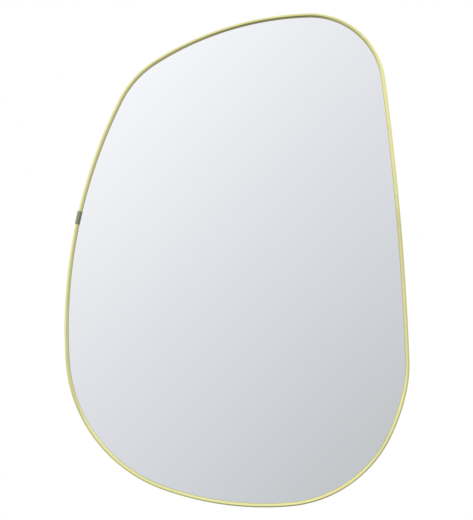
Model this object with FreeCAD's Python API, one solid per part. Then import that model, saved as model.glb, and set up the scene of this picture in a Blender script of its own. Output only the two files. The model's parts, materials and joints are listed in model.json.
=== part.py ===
"""Irregular, pebble-shaped wall mirror in a thin half-round metal channel.

The mirror faces -Y, +X is to its right as it is looked at and +Z is up. The origin is the middle of
the box round the whole object, so the wall it hangs on lies half the overall depth behind it.

The outline is five corner circles joined by five bowed sides, ten tangent arcs in all. Every layer
follows the same ten arcs at its own inset, so the pieces stay parallel to each other all the way
round. A sheet channel is wrapped round the layers, and its two ends meet under a sleeve on the left.
"""

import FreeCAD
import Part
import math
import os
from collections import namedtuple

# ---------------------------------------------------------------- driving dimensions, mm and degrees

# Corner circles of the outline, seen from the front, anticlockwise from the bottom.
# The lower right turns round two circles of one size, the hip a little above the foot.
foot_x = 69.5
foot_z = -198.5
foot_and_hip_radius = 200.0
hip_shift_x = 10.3
hip_shift_z = 29.8
crown_x = 119.5
crown_z = 278.5
crown_radius = 122.0
shoulder_x = -47.5
shoulder_z = 188.0
shoulder_radius = 161.0
belly_x = -39.0
belly_z = -146.0
belly_radius = 239.0

# How far each side bows out beyond the straight line that would touch its two corners.
foot_to_hip_rise = 1.0
hip_to_crown_rise = 5.2
crown_to_shoulder_rise = 12.5
shoulder_to_belly_rise = 21.2
belly_to_foot_rise = 6.1

# Channel that holds the layers together: a half-round front bead, a flat wall and a back lip.
bead_width = 6.8
channel_sheet = 1.2
channel_inner_bend_radius = 0.6
back_lip_width = 12.0
channel_joint_gap = 0.6

# Joint of the channel's two ends, placed by the direction that its outline faces there.
joint_bearing = 167.4
sleeve_length = 22.0
sleeve_sheet = 1.0
sleeve_clearance = 0.1
tongue_length = 40.0
tongue_thickness = 2.0
tongue_edge_margin = 1.0
tongue_clearance = 0.15
tongue_slot_end_play = 1.0

# Layers between the bead and the back lip, front to back.
glass_thickness = 4.0
glass_arris = 0.6
glass_edge_play = 1.6
film_thickness = 0.3
film_inset = 3.0
tape_thickness = 1.6
tape_width = 25.0
tape_count = 5
tape_side_margin = 89.0
tape_end_margin = 24.0
board_thickness = 9.0
board_edge_clearance = 0.3
board_arris = 1.0

# Blocks that carry and centre the glass in the channel, by the direction that each one faces.
block_length = 36.0
block_clearance = 0.1
block_bearings = {
    "setting_block_left": 251.0,
    "setting_block_right": 291.0,
    "edge_spacer_top": 100.0,
    "edge_spacer_left": 178.0,
    "edge_spacer_right": 3.0,
}

# Screws through the back lip into the board.
rim_screw_count = 12
rim_screw_shank = 3.0
rim_screw_head = 5.6
rim_screw_head_height = 1.9
joint_screw_spacing = 11.0

# Hangers: a folded strap and a wire ring on each side of the balance line.
hanger_spacing = 300.0
hanger_height = 190.0
ring_wire = 3.0
ring_width = 26.0
ring_corner_radius = 4.0
ring_limb = 5.0
ring_running_gap = 0.08
ring_rest_gap = 0.3
strap_sheet = 1.2
strap_side_play = 1.5
strap_closing_length = 9.0
strap_end_margin = 8.5
ring_to_screw_clearance = 3.5
hanger_screw_count = 2
hanger_screw_spacing = 15.0
hanger_screw_shank = 3.5
hanger_screw_head = 7.0
hanger_screw_head_height = 2.4

# Pads that hold the lower edge off the wall.
pad_spacing = 250.0
pad_height = -235.0
pad_diameter = 18.0
pad_face_diameter = 15.0
pad_edge_bevel = 0.8
pad_depth = 8.0

# Screws in their holes. The bevel round a pan head is a share of its height.
screw_hole_clearance = 0.3
pilot_clearance = 0.05
pilot_extra_depth = 0.4
board_ahead_of_screws = 2.0
screw_point_length = 2.0
pan_bevel = 0.5

# How far a cutter runs on past the face that it leaves through.
cutter_overrun = 1.0

# -------------------------------------------------------------------------------- worked-out sizes

bead_radius = bead_width / 2
glass_front = bead_radius
glass_back = glass_front + glass_thickness
film_back = glass_back + film_thickness
board_front = film_back + tape_thickness
board_back = board_front + board_thickness
channel_depth = board_back + channel_sheet
sleeve_outside = sleeve_clearance + sleeve_sheet
wall_depth = board_back + pad_depth
overall_depth = sleeve_outside + wall_depth

glass_inset = channel_sheet + glass_edge_play
board_inset = channel_sheet + board_edge_clearance
channel_bend_radius = channel_inner_bend_radius + channel_sheet
rim_screw_inset = (channel_bend_radius + back_lip_width) / 2
rim_screw_length = channel_sheet + board_thickness - board_ahead_of_screws

ring_radius = ring_wire / 2
ring_height = ring_corner_radius + ring_limb + ring_width / 2
loop_inner = ring_radius + ring_running_gap
loop_outer = loop_inner + strap_sheet
strap_thickness = 2 * strap_sheet
hinge_depth = board_back + loop_outer
strap_width = ring_width - 2 * ring_corner_radius - 2 * strap_side_play
hanger_first_screw = ring_height + ring_radius + ring_to_screw_clearance + hanger_screw_head / 2
hanger_last_screw = hanger_first_screw + (hanger_screw_count - 1) * hanger_screw_spacing
strap_length = hanger_last_screw + strap_end_margin
hanger_screw_length = strap_thickness + board_thickness - board_ahead_of_screws

# The hanging ring leans out until its far end clears the strap that it lies over.
ring_lean = math.asin((strap_thickness + ring_rest_gap + ring_radius - loop_outer) / ring_height)
# Turned up, it stops where its far end meets the board.
ring_stop = math.asin((loop_outer - ring_radius - ring_rest_gap) / ring_height)
ring_swing = math.pi - ring_lean + ring_stop

FULL_TURN = 2 * math.pi
FRONT_TO_BACK = FreeCAD.Vector(0, 1, 0)
ANTICLOCKWISE_AXIS = FreeCAD.Vector(0, -1, 0)

Corner = namedtuple("Corner", "x z radius rise_after")
Arc = namedtuple("Arc", "x z radius start sweep")
Screw = namedtuple("Screw", "shank head head_height length")

rim_screw = Screw(rim_screw_shank, rim_screw_head, rim_screw_head_height, rim_screw_length)
hanger_screw = Screw(
    hanger_screw_shank, hanger_screw_head, hanger_screw_head_height, hanger_screw_length
)


# ------------------------------------------------------------------------------------- the outline


def bearing_between(x_from, z_from, x_to, z_to):
    """Direction from one point of the front view to another, in radians from +X towards +Z."""
    return math.atan2(z_to - z_from, x_to - x_from)


def side_arc(here, there):
    """The large arc that touches two corner circles from outside and bows by the first one's rise."""
    span = math.hypot(there.x - here.x, there.z - here.z)
    tangent_squared = span**2 - (here.radius - there.radius) ** 2
    rise = here.rise_after
    radius = tangent_squared / (8 * rise) + rise / 2 + (here.radius + there.radius) / 2
    to_here = radius - here.radius
    to_there = radius - there.radius
    along = (span**2 + to_here**2 - to_there**2) / (2 * span)
    across = math.sqrt(to_here**2 - along**2)
    unit_x = (there.x - here.x) / span
    unit_z = (there.z - here.z) / span
    x = here.x + unit_x * along - unit_z * across
    z = here.z + unit_z * along + unit_x * across
    start = bearing_between(x, z, here.x, here.z)
    end = bearing_between(x, z, there.x, there.z)
    return Arc(x, z, radius, start, (end - start) % FULL_TURN)


def outline_arcs():
    """The ten arcs of the outer edge, anticlockwise, moved so that their box is centred on 0, 0."""
    hip_x = foot_x + hip_shift_x
    hip_z = foot_z + hip_shift_z
    corners = [
        Corner(foot_x, foot_z, foot_and_hip_radius, foot_to_hip_rise),
        Corner(hip_x, hip_z, foot_and_hip_radius, hip_to_crown_rise),
        Corner(crown_x, crown_z, crown_radius, crown_to_shoulder_rise),
        Corner(shoulder_x, shoulder_z, shoulder_radius, shoulder_to_belly_rise),
        Corner(belly_x, belly_z, belly_radius, belly_to_foot_rise),
    ]
    sides = [side_arc(here, there) for here, there in zip(corners, corners[1:] + corners[:1])]
    arcs = []
    for index, corner in enumerate(corners):
        before = sides[index - 1]
        start = before.start + before.sweep
        sweep = (sides[index].start - start) % FULL_TURN
        arcs.append(Arc(corner.x, corner.z, corner.radius, start, sweep))
        arcs.append(sides[index])
    right, top, left, bottom = (
        edge_point(*arc_facing(quarter * 90.0, arcs)) for quarter in range(4)
    )
    middle_x = (left[0] + right[0]) / 2
    middle_z = (bottom[1] + top[1]) / 2
    return [arc._replace(x=arc.x - middle_x, z=arc.z - middle_z) for arc in arcs]


def arc_facing(bearing, arcs):
    """The arc whose outward direction passes through a bearing in degrees, and the angle on it."""
    for arc in arcs:
        turn = (math.radians(bearing) - arc.start) % FULL_TURN
        if turn <= arc.sweep:
            return arc, arc.start + turn
    raise ValueError(f"no arc faces {bearing} degrees, so the outline isn't closed")


def edge_point(arc, angle, inset=0.0):
    """The x and z of a point on an arc, moved in by an inset."""
    reach = arc.radius - inset
    return arc.x + reach * math.cos(angle), arc.z + reach * math.sin(angle)


def distance_to(bearing):
    """Length of outer edge from the joint, anticlockwise, to where the edge faces a bearing."""
    target, angle = arc_facing(bearing, from_joint)
    travelled = 0.0
    for arc in from_joint:
        if arc is target:
            return travelled + arc.radius * (angle - arc.start)
        travelled += arc.radius * arc.sweep
    raise ValueError("the arc isn't in the outline")


def arcs_from_joint(arcs):
    """The same arcs, starting and ending at the joint, which splits the arc that it lies on."""
    split, angle = arc_facing(joint_bearing, arcs)
    index = arcs.index(split)
    done = angle - split.start
    first = split._replace(start=angle, sweep=split.sweep - done)
    last = split._replace(sweep=done)
    return [first] + arcs[index + 1 :] + arcs[:index] + [last]


def stretch(begin, end):
    """The pieces of arc between two distances from the joint; a negative one lies before it."""
    if begin < 0:
        return stretch(begin + perimeter, perimeter) + stretch(0.0, end)
    pieces = []
    travelled = 0.0
    for arc in from_joint:
        length = arc.radius * arc.sweep
        low = max(begin, travelled)
        high = min(end, travelled + length)
        if high - low > 1e-6:
            start = arc.start + (low - travelled) / arc.radius
            pieces.append(arc._replace(start=start, sweep=(high - low) / arc.radius))
        travelled += length
    return pieces


def station(distance):
    """The arc at a distance from the joint, and the angle on it."""
    travelled = 0.0
    distance = distance % perimeter
    for arc in from_joint:
        length = arc.radius * arc.sweep
        if distance <= travelled + length:
            return arc, arc.start + (distance - travelled) / arc.radius
        travelled += length
    return from_joint[-1], from_joint[-1].start + from_joint[-1].sweep


def height_span(x, inset):
    """The lowest and highest z inside the outline on one upright line, at an inset."""
    heights = []
    for arc in outline:
        reach = arc.radius - inset
        if abs(x - arc.x) >= reach:
            continue
        for side in (1, -1):
            z = arc.z + side * math.sqrt(reach**2 - (x - arc.x) ** 2)
            turn = (bearing_between(arc.x, arc.z, x, z) - arc.start) % FULL_TURN
            if turn <= arc.sweep:
                heights.append(z)
    return min(heights), max(heights)


outline = outline_arcs()
from_joint = arcs_from_joint(outline)
perimeter = sum(arc.radius * arc.sweep for arc in from_joint)


# ----------------------------------------------------------------------------------- solid builders


def at(x, depth, z):
    """A point given by its depth behind the front of the bead."""
    return FreeCAD.Vector(x, sleeve_outside + depth - overall_depth / 2, z)


def on_edge(arc, angle, inset, depth):
    """A point at an inset from the outer edge and a depth behind the front."""
    x, z = edge_point(arc, angle, inset)
    return at(x, depth, z)


def one_solid(shape):
    """The single solid in a shape, or an error when an operation left several."""
    solids = shape.Solids
    if len(solids) != 1:
        raise ValueError(f"expected one solid and got {len(solids)}")
    return solids[0]


def fused(solids):
    """Several touching solids as one."""
    if len(solids) == 1:
        return solids[0]
    return one_solid(solids[0].multiFuse(solids[1:]))


def section_face(arc, angle, path):
    """A cross-section at one place of the edge. The path holds (inset, depth) points, and a pair of
    points where the section runs on an arc, through the first to the second."""

    def place(point):
        return on_edge(arc, angle, point[0], point[1])

    first = place(path[0])
    last = first
    edges = []
    for step in path[1:] + path[:1]:
        if isinstance(step[0], tuple):
            middle = place(step[0])
            end = place(step[1])
            edges.append(Part.Arc(last, middle, end).toShape())
        else:
            end = place(step)
            edges.append(Part.makeLine(last, end))
        last = end
    return Part.Face(Part.Wire(edges))


def rolled(path, pieces):
    """A cross-section carried along pieces of the outline."""
    solids = []
    for arc in pieces:
        face = section_face(arc, arc.start, path)
        centre = at(arc.x, 0.0, arc.z)
        solids.append(face.revolve(centre, ANTICLOCKWISE_AXIS, math.degrees(arc.sweep)))
    return fused(solids)


def band(pieces, inset_out, inset_in, depth_front, depth_back):
    """A strip of rectangular section that follows the outline."""
    path = [
        (inset_out, depth_front),
        (inset_in, depth_front),
        (inset_in, depth_back),
        (inset_out, depth_back),
    ]
    return rolled(path, pieces)


def sheet_of_outline(inset, depth_front, depth_back):
    """A flat layer with the whole outline at an inset."""
    edges = []
    for arc in outline:
        ends_and_middle = [
            on_edge(arc, arc.start + share * arc.sweep, inset, depth_front) for share in (0, 0.5, 1)
        ]
        edges.append(Part.Arc(*ends_and_middle).toShape())
    face = Part.Face(Part.Wire(edges))
    return face.extrude(FRONT_TO_BACK * (depth_back - depth_front))


def rim_edges(solid, depth):
    """The edges of a layer that lie at one depth."""
    level = at(0, depth, 0).y
    return [
        edge
        for edge in solid.Edges
        if abs(edge.BoundBox.YMin - level) < 1e-6 and abs(edge.BoundBox.YMax - level) < 1e-6
    ]


def cut_all(solid, cutters):
    """A solid less several cutters."""
    return one_solid(solid.cut(Part.Compound(cutters)))


def pan_screw(x, z, seat_depth, size):
    """A pan-head screw driven forwards from the back, with its head's flat side at a depth."""
    head_radius = size.head / 2
    shank_radius = size.shank / 2
    bevel = size.head_height * pan_bevel
    seat = at(x, seat_depth, z)
    profile = [
        (0, size.head_height),
        (0, -size.length),
        (shank_radius, screw_point_length - size.length),
        (shank_radius, 0),
        (head_radius, 0),
        (head_radius, size.head_height - bevel),
        (head_radius - bevel, size.head_height),
        (0, size.head_height),
    ]
    points = [seat + FreeCAD.Vector(radius, height, 0) for radius, height in profile]
    return Part.Face(Part.makePolygon(points)).revolve(seat, FRONT_TO_BACK, 360)


def pan_screws(places, seat_depth, size):
    """Screws of one size, each a solid of its own."""
    return Part.Compound([pan_screw(x, z, seat_depth, size) for x, z in places])


def screw_holes(places, diameter, depth_from, depth_to):
    """Cutters for round holes at the screws' places."""
    return [
        Part.makeCylinder(diameter / 2, depth_to - depth_from, at(x, depth_from, z), FRONT_TO_BACK)
        for x, z in places
    ]


def clearance_hole(size):
    return size.shank + 2 * screw_hole_clearance


def pilot_holes(places, size, sheet_passed):
    """Blind cutters in the back of the board for screws that first pass a thickness of sheet."""
    deepest = board_back - (size.length - sheet_passed) - pilot_extra_depth
    diameter = size.shank + 2 * pilot_clearance
    return screw_holes(places, diameter, deepest, board_back + cutter_overrun)


# ------------------------------------------------------------------------- channel and its joint


def channel_path(inner, outer, tip_angle):
    """Section of a sheet that runs over the bead, down the wall and round the back lip, between two
    distances from the channel's outer face. It ends on the bead at an angle from the glass."""

    def on_bead(reach, angle):
        radius = bead_radius + reach
        return bead_radius + radius * math.cos(angle), glass_front - radius * math.sin(angle)

    def on_bend(reach, angle):
        radius = channel_bend_radius + reach
        return (
            channel_bend_radius - radius * math.cos(angle),
            bend_centre + radius * math.sin(angle),
        )

    bend_centre = channel_depth - channel_bend_radius
    halfway = (math.pi + tip_angle) / 2
    lip_inside = channel_depth + inner
    lip_outside = channel_depth + outer
    return [
        (-outer, glass_front),
        (on_bead(outer, halfway), on_bead(outer, tip_angle)),
        on_bead(inner, tip_angle),
        (on_bead(inner, halfway), (-inner, glass_front)),
        (-inner, bend_centre),
        (on_bend(inner, math.pi / 4), (channel_bend_radius, lip_inside)),
        (back_lip_width, lip_inside),
        (back_lip_width, lip_outside),
        (channel_bend_radius, lip_outside),
        (on_bend(outer, math.pi / 4), (-outer, bend_centre)),
    ]


def rim_screw_places():
    """The x and z of the screws spread round the back lip, clear of the joint."""
    step = perimeter / rim_screw_count
    return [
        edge_point(*station((index + 0.5) * step), rim_screw_inset)
        for index in range(rim_screw_count)
    ]


def joint_screw_places():
    """The x and z of the two screws that hold the sleeve, one for each end of the channel."""
    return [
        edge_point(*station(side * joint_screw_spacing / 2), rim_screw_inset) for side in (-1, 1)
    ]


def frame_channel():
    """The rolled sheet, open at the joint by a gap, with a hole for every screw."""
    half_gap = channel_joint_gap / 2
    path = channel_path(-channel_sheet, 0.0, 0.0)
    rail = rolled(path, stretch(half_gap, perimeter - half_gap))
    return cut_all(
        rail,
        screw_holes(
            rim_screw_places() + joint_screw_places(),
            clearance_hole(rim_screw),
            board_back - cutter_overrun,
            channel_depth + cutter_overrun,
        ),
    )


def joint_sleeve():
    """A short clip over the joint, whose tip ends level with the inner edge of the bead."""
    tip_angle = math.acos(bead_radius / (bead_radius + sleeve_outside))
    path = channel_path(sleeve_clearance, sleeve_outside, tip_angle)
    shell = rolled(path, stretch(-sleeve_length / 2, sleeve_length / 2))
    rear = channel_depth + sleeve_outside
    return cut_all(
        shell,
        screw_holes(
            joint_screw_places(), clearance_hole(rim_screw), channel_depth, rear + cutter_overrun
        ),
    )


def joint_tongue():
    """A strip inside the wall of the channel that keeps its two ends in line."""
    inset = channel_sheet + tongue_clearance
    return band(
        stretch(-tongue_length / 2, tongue_length / 2),
        inset,
        inset + tongue_thickness,
        board_front + tongue_edge_margin,
        board_back - tongue_edge_margin,
    )


# --------------------------------------------------------------------------------------- the layers


def mirror_pane():
    pane = sheet_of_outline(glass_inset, glass_front, glass_back)
    edges = rim_edges(pane, glass_front) + rim_edges(pane, glass_back)
    return one_solid(pane.makeChamfer(glass_arris, edges))


def safety_film():
    return sheet_of_outline(glass_inset + film_inset, glass_back, film_back)


def foam_tape(index):
    """One of the upright strips of foam tape, each as long as the outline allows."""
    widest_x = edge_point(*arc_facing(0.0, outline))[0]
    first_x = tape_side_margin - widest_x
    x = first_x - 2 * first_x * index / (tape_count - 1)
    spans = [height_span(x + side * tape_width / 2, tape_end_margin) for side in (-1, 1)]
    low = max(span[0] for span in spans)
    high = min(span[1] for span in spans)
    return Part.makeBox(
        tape_width, tape_thickness, high - low, at(x - tape_width / 2, film_back, low)
    )


def tongue_slot():
    """Cutter for the room that the tongue takes in the edge of the board."""
    half_length = tongue_length / 2 + tongue_slot_end_play
    inset = channel_sheet + tongue_thickness + 2 * tongue_clearance
    return band(
        stretch(-half_length, half_length),
        0.0,
        inset,
        board_front - cutter_overrun,
        board_back + cutter_overrun,
    )


def backboard():
    board = sheet_of_outline(board_inset, board_front, board_back)
    edges = rim_edges(board, board_front) + rim_edges(board, board_back)
    board = one_solid(board.makeChamfer(board_arris, edges))
    cutters = [tongue_slot()]
    cutters += pilot_holes(rim_screw_places() + joint_screw_places(), rim_screw, channel_sheet)
    for side in (-1, 1):
        cutters += pilot_holes(hanger_screw_places(side), hanger_screw, strap_thickness)
    return cut_all(board, cutters)


def edge_block(bearing):
    """A plastic block between the edge of the glass and the wall of the channel."""
    middle = distance_to(bearing)
    return band(
        stretch(middle - block_length / 2, middle + block_length / 2),
        channel_sheet + block_clearance,
        glass_inset - block_clearance,
        glass_front + block_clearance,
        glass_back,
    )


# --------------------------------------------------------------------------------------- the hangers


def balance_x():
    """The x of the glass's centre of mass, so that the mirror hangs level from two even hooks."""
    return sheet_of_outline(glass_inset, glass_front, glass_back).CenterOfMass.x


def hanger_x(side):
    return balance + side * hanger_spacing / 2


def hanger_screw_places(side):
    top = hanger_height - hanger_first_screw
    return [
        (hanger_x(side), top - index * hanger_screw_spacing) for index in range(hanger_screw_count)
    ]


def fold_face(side, radius, landing, tail):
    """A face round the strap's loop at a radius, drawn in height from the hinge and distance from
    the board. It runs over the ring's bar and slants down to a landing distance from the board,
    then goes back to the board's side of the loop by way of a tail of points."""
    slope = 2 * math.atan2(loop_inner, strap_closing_length)
    touch_angle = math.pi / 2 + slope
    left = hanger_x(side) - strap_width / 2

    def place(height, off_board):
        return at(left, board_back + off_board, hanger_height + height)

    def on_loop(angle):
        return place(radius * math.cos(angle), loop_outer + radius * math.sin(angle))

    run = (loop_outer + radius * math.sin(touch_angle) - landing) / math.tan(slope)
    foot = place(0, loop_outer - radius)
    stops = [on_loop(touch_angle), place(radius * math.cos(touch_angle) - run, landing)]
    stops += [place(*point) for point in tail]
    stops.append(foot)
    edges = [Part.Arc(foot, on_loop(slope / 2), stops[0]).toShape()]
    edges += [Part.makeLine(*ends) for ends in zip(stops, stops[1:])]
    return Part.Face(Part.Wire(edges))


def strap_plan(side):
    """The strap's outline as seen from behind, with its rounded lower end, as a deep block."""
    end_radius = strap_width / 2
    depth = 2 * loop_outer
    low = hanger_height - strap_length + end_radius
    corner = at(hanger_x(side) - end_radius, board_back, low)
    block = Part.makeBox(strap_width, depth, strap_length + loop_outer, corner)
    centre = at(hanger_x(side), board_back, low)
    return block.fuse(Part.makeCylinder(end_radius, depth, centre, FRONT_TO_BACK))


def hanger_strap(side):
    """A strap folded back on itself round the ring's bar, pressed flat and screwed to the board."""
    across = FreeCAD.Vector(strap_width, 0, 0)
    lower_end = [(-strap_length, strap_thickness), (-strap_length, 0)]
    folded = fold_face(side, loop_outer, strap_thickness, lower_end).extrude(across)
    bar_room = fold_face(side, loop_inner, strap_sheet, []).extrude(across)
    holes = screw_holes(
        hanger_screw_places(side),
        clearance_hole(hanger_screw),
        board_back - cutter_overrun,
        board_back + strap_thickness + cutter_overrun,
    )
    return cut_all(folded.common(strap_plan(side)), [bar_room] + holes)


def hanger_ring(side):
    """A round-wire ring with a straight bar in the strap's loop and an arch at its far end."""
    half_width = ring_width / 2
    half_bar = half_width - ring_corner_radius
    along_bar = FreeCAD.Vector(1, 0, 0)
    downwards = FreeCAD.Vector(0, 0, -1)

    def place(across, down):
        return at(hanger_x(side) + across, hinge_depth, hanger_height - down)

    def wire_end(across, down, direction):
        return Part.Face(Part.Wire(Part.makeCircle(ring_radius, place(across, down), direction)))

    pieces = [wire_end(-half_bar, 0, along_bar).extrude(along_bar * 2 * half_bar)]
    for hand in (-1, 1):
        corner_centre = place(hand * half_bar, ring_corner_radius)
        corner = wire_end(hand * half_bar, 0, along_bar)
        pieces.append(corner.revolve(corner_centre, FRONT_TO_BACK * hand, 90))
        limb = wire_end(hand * half_width, ring_corner_radius, downwards)
        pieces.append(limb.extrude(downwards * ring_limb))
    arch_down = ring_corner_radius + ring_limb
    arch = wire_end(half_width, arch_down, downwards)
    pieces.append(arch.revolve(place(0, arch_down), FRONT_TO_BACK, 180))
    ring = fused(pieces)
    ring.rotate(place(0, 0), along_bar, math.degrees(ring_lean))
    return ring


def wall_pad(side):
    """A tapered rubber pad stuck to the back of the board."""
    x = balance + side * pad_spacing / 2
    pad = Part.makeCone(
        pad_diameter / 2,
        pad_face_diameter / 2,
        pad_depth,
        at(x, board_back, pad_height),
        FRONT_TO_BACK,
    )
    return one_solid(pad.makeChamfer(pad_edge_bevel, rim_edges(pad, wall_depth)))


balance = balance_x()


def build():
    """Every sub-part by its node's name."""
    parts = {
        "frame_channel": frame_channel(),
        "joint_sleeve": joint_sleeve(),
        "joint_tongue": joint_tongue(),
        "mirror_pane": mirror_pane(),
        "safety_film": safety_film(),
        "backboard": backboard(),
        "rim_screws": pan_screws(rim_screw_places(), channel_depth, rim_screw),
        "joint_screws": pan_screws(
            joint_screw_places(), channel_depth + sleeve_outside, rim_screw
        ),
    }
    for index in range(tape_count):
        parts[f"foam_tape_{index + 1}"] = foam_tape(index)
    for name, bearing in block_bearings.items():
        parts[name] = edge_block(bearing)
    for name, side in (("left", -1), ("right", 1)):
        parts[f"hanger_strap_{name}"] = hanger_strap(side)
        parts[f"hanger_ring_{name}"] = hanger_ring(side)
        parts[f"hanger_screws_{name}"] = pan_screws(
            hanger_screw_places(side), board_back + strap_thickness, hanger_screw
        )
        parts[f"wall_pad_{name}"] = wall_pad(side)
    return parts


if __name__ == "__main__":
    os.makedirs("parts", exist_ok=True)
    for name, shape in build().items():
        shape.exportStep(f"parts/{name}.step")
        print(f"{name}: {len(shape.Solids)} solid, {shape.Volume / 1000:.2f} cm3")
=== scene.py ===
"""A pebble-shaped wall mirror in a thin brass channel, built round its packed CAD frame.

The file is laid out as an add-on. Sizes are in metres and follow the CAD frame: the mirror faces
-Y, +X is to its right as it is looked at and +Z is up.
"""

import json
import math
from collections import namedtuple

import bmesh
import bpy
from bpy.props import FloatProperty, FloatVectorProperty, IntProperty, PointerProperty
from bpy.types import Operator, Panel, PropertyGroup
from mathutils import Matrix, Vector


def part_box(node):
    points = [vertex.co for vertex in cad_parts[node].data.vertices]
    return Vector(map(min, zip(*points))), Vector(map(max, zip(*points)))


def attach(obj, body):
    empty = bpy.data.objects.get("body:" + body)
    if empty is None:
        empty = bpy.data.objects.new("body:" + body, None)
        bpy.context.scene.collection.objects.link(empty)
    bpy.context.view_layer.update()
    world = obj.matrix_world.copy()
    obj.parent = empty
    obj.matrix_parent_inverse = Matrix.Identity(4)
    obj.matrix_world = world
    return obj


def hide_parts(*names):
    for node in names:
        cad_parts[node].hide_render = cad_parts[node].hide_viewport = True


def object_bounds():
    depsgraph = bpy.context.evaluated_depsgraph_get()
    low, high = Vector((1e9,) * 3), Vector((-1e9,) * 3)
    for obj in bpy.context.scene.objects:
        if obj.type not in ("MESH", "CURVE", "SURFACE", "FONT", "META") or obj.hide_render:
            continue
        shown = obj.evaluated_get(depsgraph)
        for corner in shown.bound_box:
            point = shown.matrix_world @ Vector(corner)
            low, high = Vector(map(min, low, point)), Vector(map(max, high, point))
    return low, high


bl_info = {
    "name": "Irregular Shaped Mirror",
    "version": (1, 0, 0),
    "blender": (4, 5, 0),
    "location": "3D View > Sidebar > Mirror",
    "description": "Builds a pebble-shaped wall mirror with its brass rim, hangers and studio",
    "category": "Object",
}

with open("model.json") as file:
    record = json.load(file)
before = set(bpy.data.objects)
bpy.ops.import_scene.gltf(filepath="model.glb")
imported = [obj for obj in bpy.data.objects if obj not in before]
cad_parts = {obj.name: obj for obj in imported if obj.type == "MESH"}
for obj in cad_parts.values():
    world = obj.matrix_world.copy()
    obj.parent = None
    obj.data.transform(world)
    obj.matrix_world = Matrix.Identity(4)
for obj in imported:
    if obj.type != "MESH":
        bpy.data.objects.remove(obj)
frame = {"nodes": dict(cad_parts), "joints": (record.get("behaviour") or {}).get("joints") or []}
cad_low, cad_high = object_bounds()

FULL_TURN = 2 * math.pi
QUARTER_TURN = math.pi / 2
MM = 0.001
MERGE_DISTANCE = 1e-6
MAIN_BODY = "mirror"
SIDES = {"left": -1, "right": 1}
HANGER_SCREWS = 2
HOLE_CLEARANCE = 0.3 * MM
PLAN_MARGIN = 0.01 * MM
THREAD_RUN_IN = 0.8 * MM
TIP_SHARE = 0.06  # of the shank's radius, left at a screw's tip
SHORTEST_MITRE = 0.5
PLACE_DIGITS = 7  # of a place in metres, which is a tenth of a micrometre
SLEEVE_STEP = 1 * MM
PANE_FACE, PANE_EDGE, PANE_BACK = range(3)  # the pane's materials, in their order
CREVICE_SHADE_END = 0.045  # share of the channel's section, from its inner edge, where shade is painted into the brass
SENSOR_WIDTH = 36.0

# Points, sides and steps of the rounded parts
BEAD_POINTS = 12
BEND_POINTS = 6
LIP_POINTS = 3
RING_CORNER_POINTS = 10
RING_ARCH_POINTS = 26
WIRE_SIDES = 20
HEAD_SIDES = 28
THREAD_SIDES = 14
THREAD_SEGMENTS = 40
PAD_SIDES = 48
LOOP_STEPS = 28
STRAP_FOOT_STEPS = 32
HOLE_SIDES = 24

Corner = namedtuple("Corner", "x z radius rise_after")
Arc = namedtuple("Arc", "x z radius start sweep")


# ------------------------------------------------------------------------------ sizes and colours


def length(name, millimetres, description):
    """A length that a user sees in scene units, with its default written in millimetres."""
    return FloatProperty(
        name=name, description=description, default=millimetres * MM, precision=5, unit="LENGTH"
    )


def turn(name, degrees, description):
    """An angle, with its default written in degrees."""
    return FloatProperty(
        name=name, description=description, default=math.radians(degrees), unit="ROTATION"
    )


def colour(name, value, description):
    """A linear colour."""
    return FloatVectorProperty(
        name=name, description=description, default=value, size=3, min=0, max=1, subtype="COLOR"
    )


def amount(name, value, description):
    """A plain number."""
    return FloatProperty(name=name, description=description, default=value, precision=3)


class MirrorOutline(PropertyGroup):
    """Five corner circles, joined by five sides that bow out a little."""

    foot_x: length("Foot X", 69.5, "Middle of the foot's circle, across")
    foot_z: length("Foot Z", -198.5, "Middle of the foot's circle, up")
    foot_and_hip_radius: length("Foot and Hip Radius", 200.0, "Radius at the lower right")
    hip_shift_x: length("Hip Shift X", 10.3, "From the foot's circle to the hip's, across")
    hip_shift_z: length("Hip Shift Z", 29.8, "From the foot's circle to the hip's, up")
    crown_x: length("Crown X", 119.5, "Middle of the crown's circle, across")
    crown_z: length("Crown Z", 278.5, "Middle of the crown's circle, up")
    crown_radius: length("Crown Radius", 122.0, "Radius at the upper right")
    shoulder_x: length("Shoulder X", -47.5, "Middle of the shoulder's circle, across")
    shoulder_z: length("Shoulder Z", 188.0, "Middle of the shoulder's circle, up")
    shoulder_radius: length("Shoulder Radius", 161.0, "Radius at the upper left")
    belly_x: length("Belly X", -39.0, "Middle of the belly's circle, across")
    belly_z: length("Belly Z", -146.0, "Middle of the belly's circle, up")
    belly_radius: length("Belly Radius", 239.0, "Radius at the lower left")
    foot_to_hip_rise: length("Foot to Hip Rise", 1.0, "How far this side bows out")
    hip_to_crown_rise: length("Hip to Crown Rise", 5.2, "How far this side bows out")
    crown_to_shoulder_rise: length("Crown to Shoulder Rise", 12.5, "How far this side bows out")
    shoulder_to_belly_rise: length("Shoulder to Belly Rise", 21.2, "How far this side bows out")
    belly_to_foot_rise: length("Belly to Foot Rise", 6.1, "How far this side bows out")
    path_step: length("Path Step", 5.0, "Longest step between points along the outline")


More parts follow.
